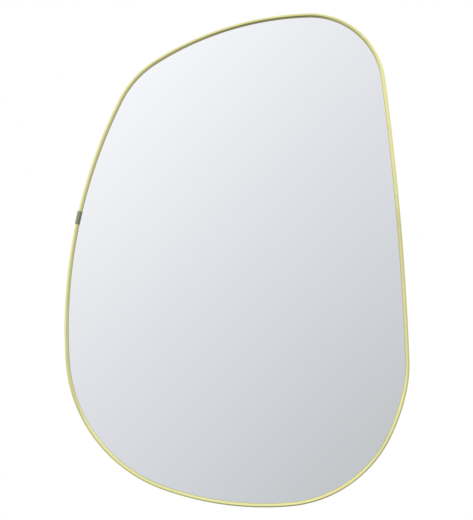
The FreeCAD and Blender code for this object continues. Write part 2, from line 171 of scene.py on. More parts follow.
class MirrorRim(PropertyGroup):
    """The folded brass channel and the sleeve over its joint."""

    bead_width: length("Bead Width", 6.8, "Width of the half-round front")
    crest_shift: length("Crest Shift", 0.9, "How far the bead's crest leans outwards")
    sheet: length("Sheet", 1.2, "Thickness of the brass sheet")
    bend_radius: length("Bend Radius", 1.8, "Outer radius of the bend at the back")
    lip_width: length("Lip Width", 12.0, "Width of the lip at the back")
    joint_gap: length("Joint Gap", 0.6, "Gap between the two ends of the channel")
    joint_bearing: turn("Joint Bearing", 167.4, "Direction that the outline faces at the joint")
    sleeve_length: length("Sleeve Length", 22.0, "Length of the sleeve along the rim")
    sleeve_clearance: length("Sleeve Clearance", 0.1, "Between the sleeve and the channel")
    sleeve_sheet: length("Sleeve Sheet", 1.0, "Thickness of the sleeve")
    lip_softness: length("Lip Softness", 0.3, "Rounding of the sheet's edge at the back")
    end_softness: length("End Softness", 0.12, "Bevel on the cut ends")


class MirrorLayers(PropertyGroup):
    """The glass and what lies behind it."""

    glass: length("Glass", 4.0, "Thickness of the glass")
    arris: length("Arris", 0.6, "Ground bevel round the glass")
    edge_play: length("Edge Play", 1.6, "Between the glass and the channel's wall")
    film: length("Film", 0.3, "Thickness of the safety film")
    tape: length("Tape", 1.6, "Thickness of the foam tape")
    board: length("Board", 9.0, "Thickness of the backboard")


class MirrorScrews(PropertyGroup):
    """Pan-head screws in the rim, in its joint and in the hangers."""

    rim_count: IntProperty(name="Rim Count", description="Screws round the rim", default=12, min=3)
    rim_shank: length("Rim Shank", 3.0, "Thread diameter of a rim screw")
    rim_head: length("Rim Head", 5.6, "Head diameter of a rim screw")
    rim_head_height: length("Rim Head Height", 1.9, "Head height of a rim screw")
    rim_length: length("Rim Length", 8.2, "Length of a rim screw under its head")
    joint_spacing: length("Joint Spacing", 11.0, "Between the two screws of the joint")
    hanger_shank: length("Hanger Shank", 3.5, "Thread diameter of a hanger screw")
    hanger_head: length("Hanger Head", 7.0, "Head diameter of a hanger screw")
    hanger_head_height: length("Hanger Head Height", 2.4, "Head height of a hanger screw")
    hanger_length: length("Hanger Length", 9.4, "Length of a hanger screw under its head")
    hanger_spacing: length("Hanger Spacing", 15.0, "Between the two screws of a hanger")
    first_drop: length("First Drop", 30.5, "From the ring's hinge down to the first screw")
    point_length: length("Point Length", 2.0, "Length of the point")
    thread_pitch: length("Thread Pitch", 1.25, "Rise of the thread in one turn")
    thread_depth: length("Thread Depth", 0.35, "Depth of the thread")
    turn_seed: IntProperty(name="Turn Seed", description="How each recess is turned", default=7)


class MirrorHangers(PropertyGroup):
    """Strap hangers, their rings, and the pads below them."""

    wire: length("Wire", 3.0, "Diameter of the ring's wire")
    ring_width: length("Ring Width", 26.0, "Width of the ring between the wire's middles")
    ring_height: length("Ring Height", 22.0, "Height of the ring between the wire's middles")
    ring_corner: length("Ring Corner", 4.0, "Corner radius beside the ring's bar")
    ring_lean: turn("Ring Lean", 3.70, "How far the hanging ring leans off the wall side")
    loop_inner: length("Loop Inner", 1.58, "Inner radius of the strap's loop")
    strap_sheet: length("Strap Sheet", 1.2, "Thickness of one layer of the strap")
    strap_seam: length("Strap Seam", 0.05, "Hairline between the two layers")
    strap_width: length("Strap Width", 15.0, "Width of the strap")
    strap_length: length("Strap Length", 54.0, "Length below the hinge")
    strap_closing: length("Strap Closing", 9.0, "Length over which the strap closes")
    strap_softness: length("Strap Softness", 0.18, "Rounding of the strap's edges")
    pad_base: length("Pad Base", 18.0, "Diameter of a wall pad on the board")
    pad_face: length("Pad Face", 15.0, "Diameter of a wall pad at the wall")
    pad_depth: length("Pad Depth", 8.0, "Depth of a wall pad")
    pad_edge: length("Pad Edge", 0.8, "Rounding round the pad's face")
    pad_dimple: length("Pad Dimple", 6.0, "Diameter of the dimple in the pad's face")
    pad_dimple_depth: length("Pad Dimple Depth", 1.2, "Depth of the dimple")


class MirrorFinish(PropertyGroup):
    """Colours of the finishes."""

    brass: colour("Brass", (0.92, 0.90, 0.425), "Lemon brass of the channel")
    tarnish: colour("Tarnish", (0.55, 0.50, 0.22), "Brass where it has dulled")
    aged: colour("Aged Brass", (0.36, 0.38, 0.24), "The sleeve over the joint")
    silver: colour("Silver", (0.93, 0.95, 0.98), "Silvering seen through the glass")
    glass_edge: colour("Glass Edge", (0.42, 0.62, 0.54), "Ground edge of the glass")
    mirror_back: colour("Mirror Back", (0.30, 0.31, 0.33), "Paint over the silvering")
    film: colour("Film", (0.62, 0.65, 0.68), "Safety film")
    foam: colour("Foam", (0.72, 0.72, 0.69), "Foam tape")
    board: colour("Board", (0.46, 0.32, 0.195), "Bare fibreboard")
    block: colour("Block", (0.022, 0.022, 0.024), "Setting blocks")
    zinc: colour("Zinc", (0.62, 0.63, 0.65), "Zinc plating on the screws and the tongue")
    nickel: colour("Nickel", (0.66, 0.65, 0.62), "Nickel plating on the hangers")
    rubber: colour("Rubber", (0.018, 0.018, 0.019), "Wall pads")


class MirrorStage(PropertyGroup):
    """Camera, light and floor."""

    distance: length("Distance", 1984.5, "From the camera to the front of the mirror")
    aim_x: length("Aim X", -0.9, "How far the camera stands to the right")
    aim_z: length("Aim Z", 0.6, "How far the camera stands above the mirror's middle")
    lens: amount("Lens", 85.0, "Focal length in millimetres")
    light_level: amount("Light Level", 0.66, "Even light of the room")
    key_level: amount("Key Level", 1.02, "Brightness of the large lamp above")
    side_level: amount("Side Level", 0.22, "Brightness of the lamp on the right")
    fill_level: amount("Fill Level", 0.75, "Brightness of the lamp behind")
    floor_drop: length("Floor Drop", 2600.0, "From the middle of the mirror to the floor")
    floor_size: length("Floor Size", 10000.0, "Side of the floor")


GROUPS = {
    "mirror_outline": MirrorOutline,
    "mirror_rim": MirrorRim,
    "mirror_layers": MirrorLayers,
    "mirror_screws": MirrorScrews,
    "mirror_hangers": MirrorHangers,
    "mirror_finish": MirrorFinish,
    "mirror_stage": MirrorStage,
}


# ------------------------------------------------------------------------------------ the outline


class EdgeLine:
    """The outer edge, ten tangent arcs run anticlockwise as seen from the front, from the joint."""

    def __init__(self, sizes, joint_bearing):
        arcs = outline_arcs(sizes)
        split, angle = arc_facing(joint_bearing, arcs)
        index = arcs.index(split)
        done = angle - split.start
        first = split._replace(start=angle, sweep=split.sweep - done)
        last = split._replace(sweep=done)
        self.arcs = [first] + arcs[index + 1 :] + arcs[:index] + [last]
        self.perimeter = sum(arc.radius * arc.sweep for arc in self.arcs)

    def place(self, distance, inset=0.0):
        """The x and z at a distance from the joint, moved in by an inset."""
        distance %= self.perimeter
        for arc in self.arcs:
            reach = arc.radius * arc.sweep
            if distance <= reach or arc is self.arcs[-1]:
                return edge_point(arc, arc.start + distance / arc.radius, inset)
            distance -= reach

    def run(self, begin, end, step, inset=0.0):
        """Evenly spaced places from one distance to another."""
        count = math.ceil((end - begin) / step)
        return [
            self.place(begin + (end - begin) * index / count, inset) for index in range(count + 1)
        ]

    def ring(self, step, inset):
        """The closed outline at an inset, without its first place repeated."""
        return self.run(0.0, self.perimeter, step, inset)[:-1]


def edge_point(arc, angle, inset=0.0):
    reach = arc.radius - inset
    return arc.x + reach * math.cos(angle), arc.z + reach * math.sin(angle)


def arc_facing(bearing, arcs):
    """The arc whose outward direction passes through a bearing, and the angle on it."""
    for arc in arcs:
        past_start = (bearing - arc.start) % FULL_TURN
        if past_start <= arc.sweep:
            return arc, arc.start + past_start
    raise ValueError("the outline isn't closed")


def side_arc(here, there):
    """The large arc that touches two corner circles and bows out by the first one's rise."""
    span = math.hypot(there.x - here.x, there.z - here.z)
    rise = here.rise_after
    tangent_squared = span**2 - (here.radius - there.radius) ** 2
    radius = tangent_squared / (8 * rise) + rise / 2 + (here.radius + there.radius) / 2
    to_here = radius - here.radius
    to_there = radius - there.radius
    along = (span**2 + to_here**2 - to_there**2) / (2 * span)
    across = math.sqrt(to_here**2 - along**2)
    unit_x = (there.x - here.x) / span
    unit_z = (there.z - here.z) / span
    x = here.x + unit_x * along - unit_z * across
    z = here.z + unit_z * along + unit_x * across
    start = math.atan2(here.z - z, here.x - x)
    end = math.atan2(there.z - z, there.x - x)
    return Arc(x, z, radius, start, (end - start) % FULL_TURN)


def outline_arcs(sizes):
    """The ten arcs, moved so that the box round them is centred."""
    radius = sizes.foot_and_hip_radius
    hip_x = sizes.foot_x + sizes.hip_shift_x
    hip_z = sizes.foot_z + sizes.hip_shift_z
    corners = [
        Corner(sizes.foot_x, sizes.foot_z, radius, sizes.foot_to_hip_rise),
        Corner(hip_x, hip_z, radius, sizes.hip_to_crown_rise),
        Corner(sizes.crown_x, sizes.crown_z, sizes.crown_radius, sizes.crown_to_shoulder_rise),
        Corner(
            sizes.shoulder_x, sizes.shoulder_z, sizes.shoulder_radius, sizes.shoulder_to_belly_rise
        ),
        Corner(sizes.belly_x, sizes.belly_z, sizes.belly_radius, sizes.belly_to_foot_rise),
    ]
    sides = [side_arc(here, there) for here, there in zip(corners, corners[1:] + corners[:1])]
    arcs = []
    for index, corner in enumerate(corners):
        before = sides[index - 1]
        start = before.start + before.sweep
        sweep = (sides[index].start - start) % FULL_TURN
        arcs.append(Arc(corner.x, corner.z, corner.radius, start, sweep))
        arcs.append(sides[index])
    right, top, left, bottom = (
        edge_point(*arc_facing(quarter * QUARTER_TURN, arcs)) for quarter in range(4)
    )
    middle_x = (left[0] + right[0]) / 2
    middle_z = (bottom[1] + top[1]) / 2
    return [arc._replace(x=arc.x - middle_x, z=arc.z - middle_z) for arc in arcs]


class Depths:
    """Places from front to back, as y in the frame."""

    def __init__(self, rim, layers, hangers):
        bead_front = cad_low.y + rim.sleeve_clearance + rim.sleeve_sheet
        self.bead_front = bead_front
        self.glass_front = bead_front + rim.bead_width / 2
        self.glass_back = self.glass_front + layers.glass
        self.board_back = self.glass_back + layers.film + layers.tape + layers.board
        self.channel_back = self.board_back + rim.sheet
        self.sleeve_back = self.channel_back + rim.sleeve_clearance + rim.sleeve_sheet
        self.channel_depth = self.channel_back - bead_front
        self.strap_back = self.board_back + 2 * hangers.strap_sheet


# --------------------------------------------------------------------------------- node graphs


def arithmetic(operation, swapped=False):
    """A method of Wire that adds a Math node."""

    def method(self, other):
        return self.graph.math(operation, *((other, self) if swapped else (self, other)))

    return method


class Wire:
    """An output of a node. Plain arithmetic on it adds Math nodes to its graph."""

    __add__ = arithmetic("ADD")
    __radd__ = arithmetic("ADD", swapped=True)
    __sub__ = arithmetic("SUBTRACT")
    __rsub__ = arithmetic("SUBTRACT", swapped=True)
    __mul__ = arithmetic("MULTIPLY")
    __truediv__ = arithmetic("DIVIDE")

    def __init__(self, graph, socket):
        self.graph = graph
        self.socket = socket

    def __neg__(self):
        return self * -1.0


class Graph:
    """Adds nodes to one tree."""

    def __init__(self, tree):
        self.tree = tree
        self.column = 0

    def feed(self, socket, value):
        """Links a wire to an input, and sets anything else on it."""
        if isinstance(value, Wire):
            self.tree.links.new(value.socket, socket)
        else:
            socket.default_value = value

    def node(self, kind, inputs=None, **settings):
        node = self.tree.nodes.new(kind)
        node.location = (self.column % 14 * 200, -(self.column // 14) * 320)
        self.column += 1
        for name, value in settings.items():
            setattr(node, name, value)
        for key, value in (inputs or {}).items():
            self.feed(node.inputs[key], value)
        return node

    def add(self, kind, inputs=None, out=0, **settings):
        """A node's output, as a wire."""
        return Wire(self, self.node(kind, inputs, **settings).outputs[out])

    def math(self, operation, *values):
        return self.add("ShaderNodeMath", dict(enumerate(values)), operation=operation)

    def vector(self, x=0.0, y=0.0, z=0.0):
        return self.add("ShaderNodeCombineXYZ", {"X": x, "Y": y, "Z": z})

    def split(self, vector):
        """The three numbers of a vector."""
        node = self.node("ShaderNodeSeparateXYZ", {"Vector": vector})
        return [Wire(self, output) for output in node.outputs]

    def clamped(self, value, low=0.0):
        """A value held between a low limit and 1."""
        return self.math("MINIMUM", self.math("MAXIMUM", value, low), 1.0)


class ShapeGraph(Graph):
    """A Geometry Nodes tree, with the wires of its named inputs in their order."""

    def __init__(self, name, lengths, counts=(), places=()):
        super().__init__(bpy.data.node_groups.new(name, "GeometryNodeTree"))
        self.socket("Geometry", "Geometry")
        for kind, names in (("Float", lengths), ("Int", counts), ("Vector", places)):
            for given in names:
                self.socket(given, kind)
        self.socket("Material", "Material")
        self.socket("Geometry", "Geometry", "OUTPUT")
        outputs = self.node("NodeGroupInput").outputs
        self.source, *self.sizes, self.material = (
            Wire(self, outputs[given])
            for given in ("Geometry", *lengths, *counts, *places, "Material")
        )

    def socket(self, name, kind, direction="INPUT"):
        kind = f"NodeSocket{kind}"
        self.tree.interface.new_socket(name, in_out=direction, socket_type=kind)

    def merged(self, geometry):
        return self.add(
            "GeometryNodeMergeByDistance", {"Geometry": geometry, "Distance": MERGE_DISTANCE}
        )

    def finish(self, geometry):
        """Ends the tree in real geometry with its material."""
        real = self.merged(self.add("GeometryNodeRealizeInstances", {"Geometry": geometry}))
        painted = self.add("GeometryNodeSetMaterial", {"Geometry": real, "Material": self.material})
        self.node("NodeGroupOutput", {0: painted})
        return self.tree

    def pick(self, kind, values):
        """A field with one value for each index."""
        node = self.node("GeometryNodeIndexSwitch", data_type=kind)
        while len(node.index_switch_items) < len(values):
            node.index_switch_items.new()
        for place, value in enumerate([self.add("GeometryNodeInputIndex"), *values]):
            self.feed(node.inputs[place], value)
        return Wire(self, node.outputs[0])

    def rounded_line(self, corners, closed):
        """A curve through corners, each an x, a y, a rounding radius and the points of its arc."""
        places = self.pick("VECTOR", [self.vector(x, y) for x, y, _, _ in corners])
        points = self.add("GeometryNodePoints", {"Count": len(corners), "Position": places})
        curve = self.add("GeometryNodePointsToCurves", {"Points": points})
        curve = self.add("GeometryNodeSetSplineCyclic", {"Geometry": curve, "Cyclic": closed})
        inputs = {
            "Curve": curve,
            "Count": self.pick("INT", [count for _, _, _, count in corners]),
            "Radius": self.pick("FLOAT", [radius for _, _, radius, _ in corners]),
            "Limit Radius": True,
        }
        return self.add("GeometryNodeFilletCurve", inputs, mode="POLY")

    def named(self, curve, name, value):
        """A curve that carries a number at each of its points."""
        inputs = {"Geometry": curve, "Name": name, "Value": value}
        return self.add(
            "GeometryNodeStoreNamedAttribute", inputs, data_type="FLOAT", domain="POINT"
        )

    def swept(self, path, section, caps=True):
        return self.add(
            "GeometryNodeCurveToMesh", {"Curve": path, "Profile Curve": section, "Fill Caps": caps}
        )

    def circle(self, sides, radius):
        return self.add(
            "GeometryNodeCurvePrimitiveCircle", {"Resolution": sides, "Radius": radius}
        )

    def turned(self, outline, sides):
        """A solid turned about Z, from corners given by radius, height, rounding and points."""
        hub = 1 * MM
        corners = [
            (radius - hub, -height, soft, points) for radius, height, soft, points in outline
        ]
        section = self.rounded_line(corners, closed=False)
        return self.merged(self.swept(self.circle(sides, hub), section, caps=False))

    def moved(self, geometry, place=(0, 0, 0), rotation=(0, 0, 0), scale=(1, 1, 1)):
        inputs = {"Geometry": geometry, "Translation": place, "Rotation": rotation, "Scale": scale}
        return self.add("GeometryNodeTransform", inputs)

    def reshaped(self, geometry, position):
        return self.add("GeometryNodeSetPosition", {"Geometry": geometry, "Position": position})

    def combined(self, operation, first, second):
        """An exact Boolean of two meshes."""
        node = self.node("GeometryNodeMeshBoolean", operation=operation, solver="EXACT")
        whole = "Mesh 1" if operation == "DIFFERENCE" else "Mesh 2"
        self.feed(node.inputs[whole], first)
        self.feed(node.inputs["Mesh 2"], second)
        return Wire(self, node.outputs[0])

    def on_points(self, instance):
        """An instance on each point of the source, its Z turned to the frame's +Y."""
        return self.add(
            "GeometryNodeInstanceOnPoints",
            {"Points": self.source, "Instance": instance, "Rotation": (-QUARTER_TURN, 0, 0)},
        )


def channel_graph():
    """A sheet folded over a half-round bead, down a wall and round a back lip, along a path.

    The path lies flat, run anticlockwise. Section x is minus the inset and section y is the depth.
    """
    graph = ShapeGraph(
        "Folded channel along an outline",
        [
            "Bead Radius", "Crest Shift", "Channel Depth", "Bend Radius", "Lip Width",
            "Inner Offset", "Outer Offset", "Tip Angle", "Lip Softness", "Bead Front",
        ],
        counts=["Bead Points"],
    )
    bead, crest_shift, depth, bend, lip, inner, outer, tip, soft, front, points = graph.sizes
    tip_across = graph.math("COSINE", tip)
    tip_forward = graph.math("SINE", tip)
    shoulder = graph.math("TANGENT", (QUARTER_TURN - tip) / 2)

    def bead_corners(reach):
        radius = bead + reach
        return [
            (-(bead + radius * tip_across), bead - radius * tip_forward, 0.0, 1),
            (-(bead + radius * shoulder), bead - radius, radius, points),
            (reach, -reach, radius, points),
        ]

    corners = bead_corners(outer) + [
        (outer, depth + outer, bend + outer, BEND_POINTS),
        (-lip, depth + outer, soft, LIP_POINTS),
        (-lip, depth + inner, soft, LIP_POINTS),
        (inner, depth + inner, bend + inner, BEND_POINTS),
    ]
    corners += reversed(bead_corners(inner))
    section = graph.rounded_line(corners, closed=True)
    x, y, z = graph.split(graph.add("GeometryNodeInputPosition"))
    near_crest = 1.0 - graph.math("ABSOLUTE", x + bead) / bead
    lean = graph.clamped(near_crest) * graph.clamped((bead - y) / bead * 2.0)
    section = graph.reshaped(section, graph.vector(x + lean * crest_shift, y, z))
    place = graph.add("GeometryNodeSplineParameter", out="Factor")
    section = graph.named(section, "round_section", place)
    distance = graph.add("GeometryNodeSplineParameter", out="Length")
    shell = graph.swept(graph.named(graph.source, "along_rim", distance), section)
    return graph.finish(
        graph.moved(shell, place=graph.vector(y=front), rotation=(QUARTER_TURN, 0, 0))
    )


def screw_graph():
    """Pan-head screws with a cross recess and a thread, one on each point, heads towards +Y."""
    graph = ShapeGraph(
        "Pan-head screws on points",
        [
            "Shank Diameter", "Head Diameter", "Head Height", "Length",
            "Point Length", "Thread Pitch", "Thread Depth",
        ],
        counts=["Turn Seed"],
    )
    shank_width, head_width, height, under_head, point, pitch, thread_depth, seed = graph.sizes
    shank = shank_width / 2
    head = head_width / 2
    pan_corners = [
        (0.0, 0.0, 0.0, 1),
        (head, 0.0, 0.1 * MM, 2),
        (head, height * 0.72, height * 0.5, 5),
        (head * 0.62, height, height * 0.4, 4),
        (0.0, height, 0.0, 1),
    ]
    pan = graph.turned(pan_corners, HEAD_SIDES)

    # The recess is two flattened spikes, crossed and sunk into the head.
    spike = {"Vertices": 4, "Depth": height}
    spike |= {"Radius Top": head * 0.98, "Radius Bottom": head * 0.42}
    blade = graph.moved(
        graph.add("GeometryNodeMeshCone", spike), rotation=(0, 0, QUARTER_TURN / 2)
    )
    blade = graph.moved(blade, scale=(0.82, 0.17, 1.0))
    sunk = graph.vector(z=height * 0.32)
    blades = [graph.moved(blade, sunk, (0, 0, angle)) for angle in (0, QUARTER_TURN)]
    driven = graph.combined("DIFFERENCE", pan, graph.combined("UNION", *blades))

    overlap = height * 0.15
    shaft = {
        "Vertices": THREAD_SIDES,
        "Side Segments": THREAD_SEGMENTS,
        "Radius": shank,
        "Depth": under_head + overlap,
    }
    rod = graph.moved(
        graph.add("GeometryNodeMeshCylinder", shaft), graph.vector(z=(overlap - under_head) / 2)
    )
    x, y, z = graph.split(graph.add("GeometryNodeInputPosition"))
    turns = z / pitch - graph.math("ARCTAN2", y, x) / FULL_TURN
    ridge = graph.math("PINGPONG", turns, 0.5) * 2.0
    below_head = graph.clamped(-z / THREAD_RUN_IN)
    taper = graph.clamped((z + under_head) / point, low=TIP_SHARE)
    thread_cut = thread_depth * (1.0 - ridge * below_head)
    share = (1.0 - thread_cut / shank) * taper
    threaded = graph.reshaped(rod, graph.vector(x * share, y * share, z))
    screw = graph.combined("UNION", driven, threaded)

    spin = graph.add(
        "FunctionNodeRandomValue", {2: 0.0, 3: math.pi, "Seed": seed}, out=1, data_type="FLOAT"
    )
    inputs = {
        "Instances": graph.on_points(screw),
        "Rotation": graph.add("FunctionNodeEulerToRotation", {0: graph.vector(z=spin)}),
        "Local Space": True,
    }
    return graph.finish(graph.add("GeometryNodeRotateInstances", inputs))


def ring_graph():
    """A round-wire ring with a straight bar and an arch, hung from a hinge and leaning out."""
    graph = ShapeGraph(
        "Wire ring",
        ["Wire Diameter", "Ring Width", "Ring Height", "Corner Radius", "Lean"],
        places=["Hinge"],
    )
    wire, width, drop, corner, lean, hung_from = graph.sizes
    half = width / 2
    corners = [
        (-half, 0.0, corner, RING_CORNER_POINTS),
        (-half, -drop, half, RING_ARCH_POINTS),
        (half, -drop, half, RING_ARCH_POINTS),
        (half, 0.0, corner, RING_CORNER_POINTS),
    ]
    path = graph.rounded_line(corners, closed=True)
    shell = graph.swept(path, graph.circle(WIRE_SIDES, wire / 2), caps=False)
    return graph.finish(graph.moved(shell, hung_from, graph.vector(x=lean + QUARTER_TURN)))


def pad_graph():
    """A tapered rubber pad with a dimple, its face towards +Y, on each point."""
    graph = ShapeGraph(
        "Turned wall pad",
        [
            "Base Diameter", "Face Diameter", "Depth",
            "Edge Rounding", "Dimple Diameter", "Dimple Depth",
        ],
    )
    base, face, depth, edge, dimple_width, dimple_depth = graph.sizes
    dimple = dimple_width / 2
    floor = depth - dimple_depth
    corners = [
        (0.0, 0.0, 0.0, 1),
        (base / 2, 0.0, 0.15 * MM, 2),
        (face / 2, depth, edge, 6),
        (dimple, depth, edge * 0.5, 4),
        (dimple * 0.85, floor, edge * 0.5, 4),
        (0.0, floor, 0.0, 1),
    ]
    return graph.finish(graph.on_points(graph.turned(corners, PAD_SIDES)))


# ---------------------------------------------------------------------------------- making meshes


def link(thing):
    bpy.context.scene.collection.objects.link(thing)
    return thing


def flat_path(name, places):
    """An open curve that lies flat, its y standing for the frame's z."""
    curve = bpy.data.curves.new(name, "CURVE")
    curve.dimensions = "3D"
    curve.twist_mode = "Z_UP"
    line = curve.splines.new("POLY")
    line.points.add(len(places) - 1)
    for point, (x, z) in zip(line.points, places):
        point.co = (x, z, 0.0, 1.0)
    return link(bpy.data.objects.new(name, curve))


def loose_points(name, places):
    mesh = bpy.data.meshes.new(name)
    mesh.from_pydata(places, [], [])
    return link(bpy.data.objects.new(name, mesh))


def piece_from(name, shell):
    """Turns a bmesh into an object."""
    mesh = bpy.data.meshes.new(name)
    shell.to_mesh(mesh)
    shell.free()
    return link(bpy.data.objects.new(name, mesh))


def evaluated_mesh(thing):
    """A plain mesh of an object with its modifiers applied."""
    depsgraph = bpy.context.evaluated_depsgraph_get()
    return bpy.data.meshes.new_from_object(
        thing.evaluated_get(depsgraph), preserve_all_data_layers=True, depsgraph=depsgraph
    )


def grown(name, source, tree, sizes, material):
    """Runs a node tree on a source object and keeps the result as a plain mesh.

    The sizes are in the order of the tree's inputs, between its geometry and its material.
    """
    modifier = source.modifiers.new(tree.name, "NODES")
    modifier.node_group = tree
    _, *identifiers = (
        item.identifier
        for item in tree.interface.items_tree
        if item.item_type == "SOCKET" and item.in_out == "INPUT"
    )
    for identifier, value in zip(identifiers, [*sizes, material], strict=True):
        modifier[identifier] = value
    mesh = evaluated_mesh(source)
    source.modifiers.remove(modifier)
    bpy.data.objects.remove(source)
    if not mesh.polygons:
        raise RuntimeError(f"{tree.name} made no faces for {name}")
    mesh.name = name
    closed_and_outward(mesh)
    return link(bpy.data.objects.new(name, mesh))


def closed_and_outward(mesh, sharp_degrees=35):
    """Merges doubles, turns the faces outwards and smooths all but the sharp edges."""
    shell = bmesh.new()
    shell.from_mesh(mesh)
    bmesh.ops.remove_doubles(shell, verts=shell.verts, dist=MERGE_DISTANCE)
    bmesh.ops.recalc_face_normals(shell, faces=shell.faces)
    for face in shell.faces:
        face.smooth = True
    shell.to_mesh(mesh)
    shell.free()
    mesh.set_sharp_from_angle(angle=math.radians(sharp_degrees))


def softened(piece, width, degrees=50):
    """Bevels the sharp edges and weights the normals, so that flat faces stay flat."""
    bevel = piece.modifiers.new("Soft edges", "BEVEL")
    bevel.width = width
    bevel.segments = 2
    bevel.limit_method = "ANGLE"
    bevel.angle_limit = math.radians(degrees)
    return weighted(piece)


def weighted(piece):
    normals = piece.modifiers.new("Flat faces", "WEIGHTED_NORMAL")
    normals.keep_sharp = True
    return piece


def settle(piece, node, body=MAIN_BODY):
    """A finished piece rides on its body and stands for its CAD node, which is hidden."""
    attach(piece, body)
    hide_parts(node)


def dress(node, material):
    """Gives a CAD node a better material."""
    slots = frame["nodes"][node].data.materials
    slots.clear()
    slots.append(material)


# -------------------------------------------------------------------------------------- materials


class SurfaceGraph(Graph):
    """A shader tree, with the blends that the finishes and the studio share."""

    def __init__(self, tree):
        super().__init__(tree)
        tree.nodes.clear()

    def remap(self, value, low, high, to_low=0.0, to_high=1.0, smooth=False):
        return self.add(
            "ShaderNodeMapRange",
            {0: value, 1: low, 2: high, 3: to_low, 4: to_high},
            interpolation_type="SMOOTHSTEP" if smooth else "LINEAR",
        )

    def blend(self, share, first, second):
        """A mix of two colours."""
        node = self.node("ShaderNodeMix", {0: share}, data_type="RGBA")
        for socket, value in ((node.inputs[6], first), (node.inputs[7], second)):
            self.feed(socket, value if isinstance(value, Wire) else (*value[:3], 1.0))
        return Wire(self, node.outputs[2])

    def touched(self, tone, pattern, low, high, share, over):
        """A tone with some of another over it, where a pattern rises from low to high."""
        return self.blend(self.remap(pattern, low, high, 0.0, share), tone, over)


class Finish(SurfaceGraph):
    """A surface made of nodes. Its patterns lie in the object's own space, in metres."""

    def __init__(self, name, metallic=0.0, **fixed):
        self.material = bpy.data.materials.new(name)
        self.material.use_nodes = True
        super().__init__(self.material.node_tree)
        self.shader = self.node("ShaderNodeBsdfPrincipled", {"Metallic": metallic, **fixed})
        self.node("ShaderNodeOutputMaterial", {"Surface": Wire(self, self.shader.outputs[0])})
        self.space = self.add("ShaderNodeTexCoord", out="Object")

    def stretched(self, x=1.0, y=1.0, z=1.0, turned=0.0):
        """Coordinates squeezed along some axes and turned about Y, to make a pattern run."""
        inputs = {"Vector": self.space, "Rotation": (0, turned, 0), "Scale": (x, y, z)}
        return self.add("ShaderNodeMapping", inputs)

    def number(self, name):
        """A number that the piece's mesh carries."""
        return self.add("ShaderNodeAttribute", out="Fac", attribute_name=name)

    def noise(self, scale, detail=3.0, roughness=0.55, vector=None, distortion=0.0):
        inputs = {
            "Vector": vector or self.space,
            "Scale": scale,
            "Detail": detail,
            "Roughness": roughness,
            "Distortion": distortion,
        }
        return self.add("ShaderNodeTexNoise", inputs)

    def cells(self, scale):
        return self.add("ShaderNodeTexVoronoi", {"Vector": self.space, "Scale": scale})

    def paint(self, base, roughness):
        self.feed(self.shader.inputs["Base Color"], base)
        self.feed(self.shader.inputs["Roughness"], roughness)

    def relief(self, height, millimetres, strength):
        """Fine relief, as a height from 0 to 1 over a depth. It ends the finish."""
        inputs = {"Strength": strength, "Distance": millimetres * MM, "Height": height}
        self.feed(self.shader.inputs["Normal"], self.add("ShaderNodeBump", inputs))
        return self.material


def shade(value, factor):
    """A colour made lighter or darker."""
    return tuple(min(1.0, channel * factor) for channel in value)


def tinted(value, red=1.0, green=1.0):
    """A colour with a little less of its red or green."""
    return (value[0] * red, value[1] * green, value[2])


def rolled_brass(name, base, tarnish, dullness, blotch):
    """Brass drawn through rollers: fine lines run along it, and painted shade darkens its inner
    edge against the glass.
    """
    finish = Finish(name, metallic=1.0)
    along = finish.number("along_rim")
    around = finish.number("round_section")
    fine = finish.noise(1.0, detail=2.0, vector=finish.vector(along * 9.0, around * 420.0))
    broad = finish.noise(1.0, detail=1.0, vector=finish.vector(along * 4.0, around * 110.0))
    lines = fine * 0.6 + broad * 0.4
    patches = finish.noise(6.0, detail=4.0, roughness=0.6)
    prints = finish.noise(55.0, detail=3.0, distortion=0.7)
    drift = finish.noise(1.9, detail=1.0, vector=finish.stretched(y=0.2))
    dulled = finish.remap(patches, 0.42, 0.75, 0.0, blotch, smooth=True)
    handled = finish.remap(prints, 0.55, 0.72, 0.0, blotch * 0.4, smooth=True)
    greener = finish.remap(drift, 0.4, 0.6, smooth=True)
    tone = finish.blend(greener, tinted(base, green=0.99), tinted(base, red=0.985))
    tone = finish.blend(dulled, tone, tarnish)
    tone = finish.blend(handled, tone, shade(tarnish, 0.85))
    tone = finish.touched(tone, lines, 0.35, 0.65, 0.16, tarnish)
    # Painted shade: the brass is darkened where the bead meets the glass, standing for the shade in
    # that crevice; the band is also made rougher.
    crevice_shade = finish.remap(around, 0.0, CREVICE_SHADE_END, 0.62, 0.0, smooth=True)
    tone = finish.blend(crevice_shade, tone, shade(tarnish, 0.45))
    roughness = dullness + dulled * 0.12 + handled * 0.25 + crevice_shade * 0.15
    finish.paint(tone, roughness + finish.remap(lines, 0.3, 0.7, -0.04, 0.05))
    return finish.relief(lines, 0.012, 0.4)


def silvered_glass(colours):
    """The reflecting face: silver under clear glass, nearly flawless, with the faintest smears."""
    coat = {"Coat Weight": 0.6, "Coat Roughness": 0.0}
    finish = Finish("mirror_glass_face", metallic=1.0, **coat)
    smears = finish.noise(7.0, detail=3.0, distortion=0.8)
    dust = finish.noise(900.0, detail=1.0)
    clouds = finish.noise(3.0, detail=1.0)
    base = finish.blend(clouds, colours.silver, shade(colours.silver, 0.985))
    finish.paint(
        finish.touched(base, dust, 0.78, 0.84, 0.05, (0.75, 0.75, 0.74)),
        finish.remap(smears, 0.45, 0.75, 0.0, 0.018, smooth=True),
    )
    return finish.relief(clouds, 0.02, 0.02)


def streaked(name, tone, darker, pattern, squeeze, roughness, relief, **fixed):
    """A plain finish with one pattern, which darkens it, dulls it and raises it."""
    finish = Finish(name, **fixed)
    marks = finish.noise(*pattern, vector=finish.stretched(**squeeze))
    finish.paint(
        finish.blend(marks, tone, shade(tone, darker)), finish.remap(marks, 0.3, 0.7, *roughness)
    )
    return finish.relief(marks, *relief)


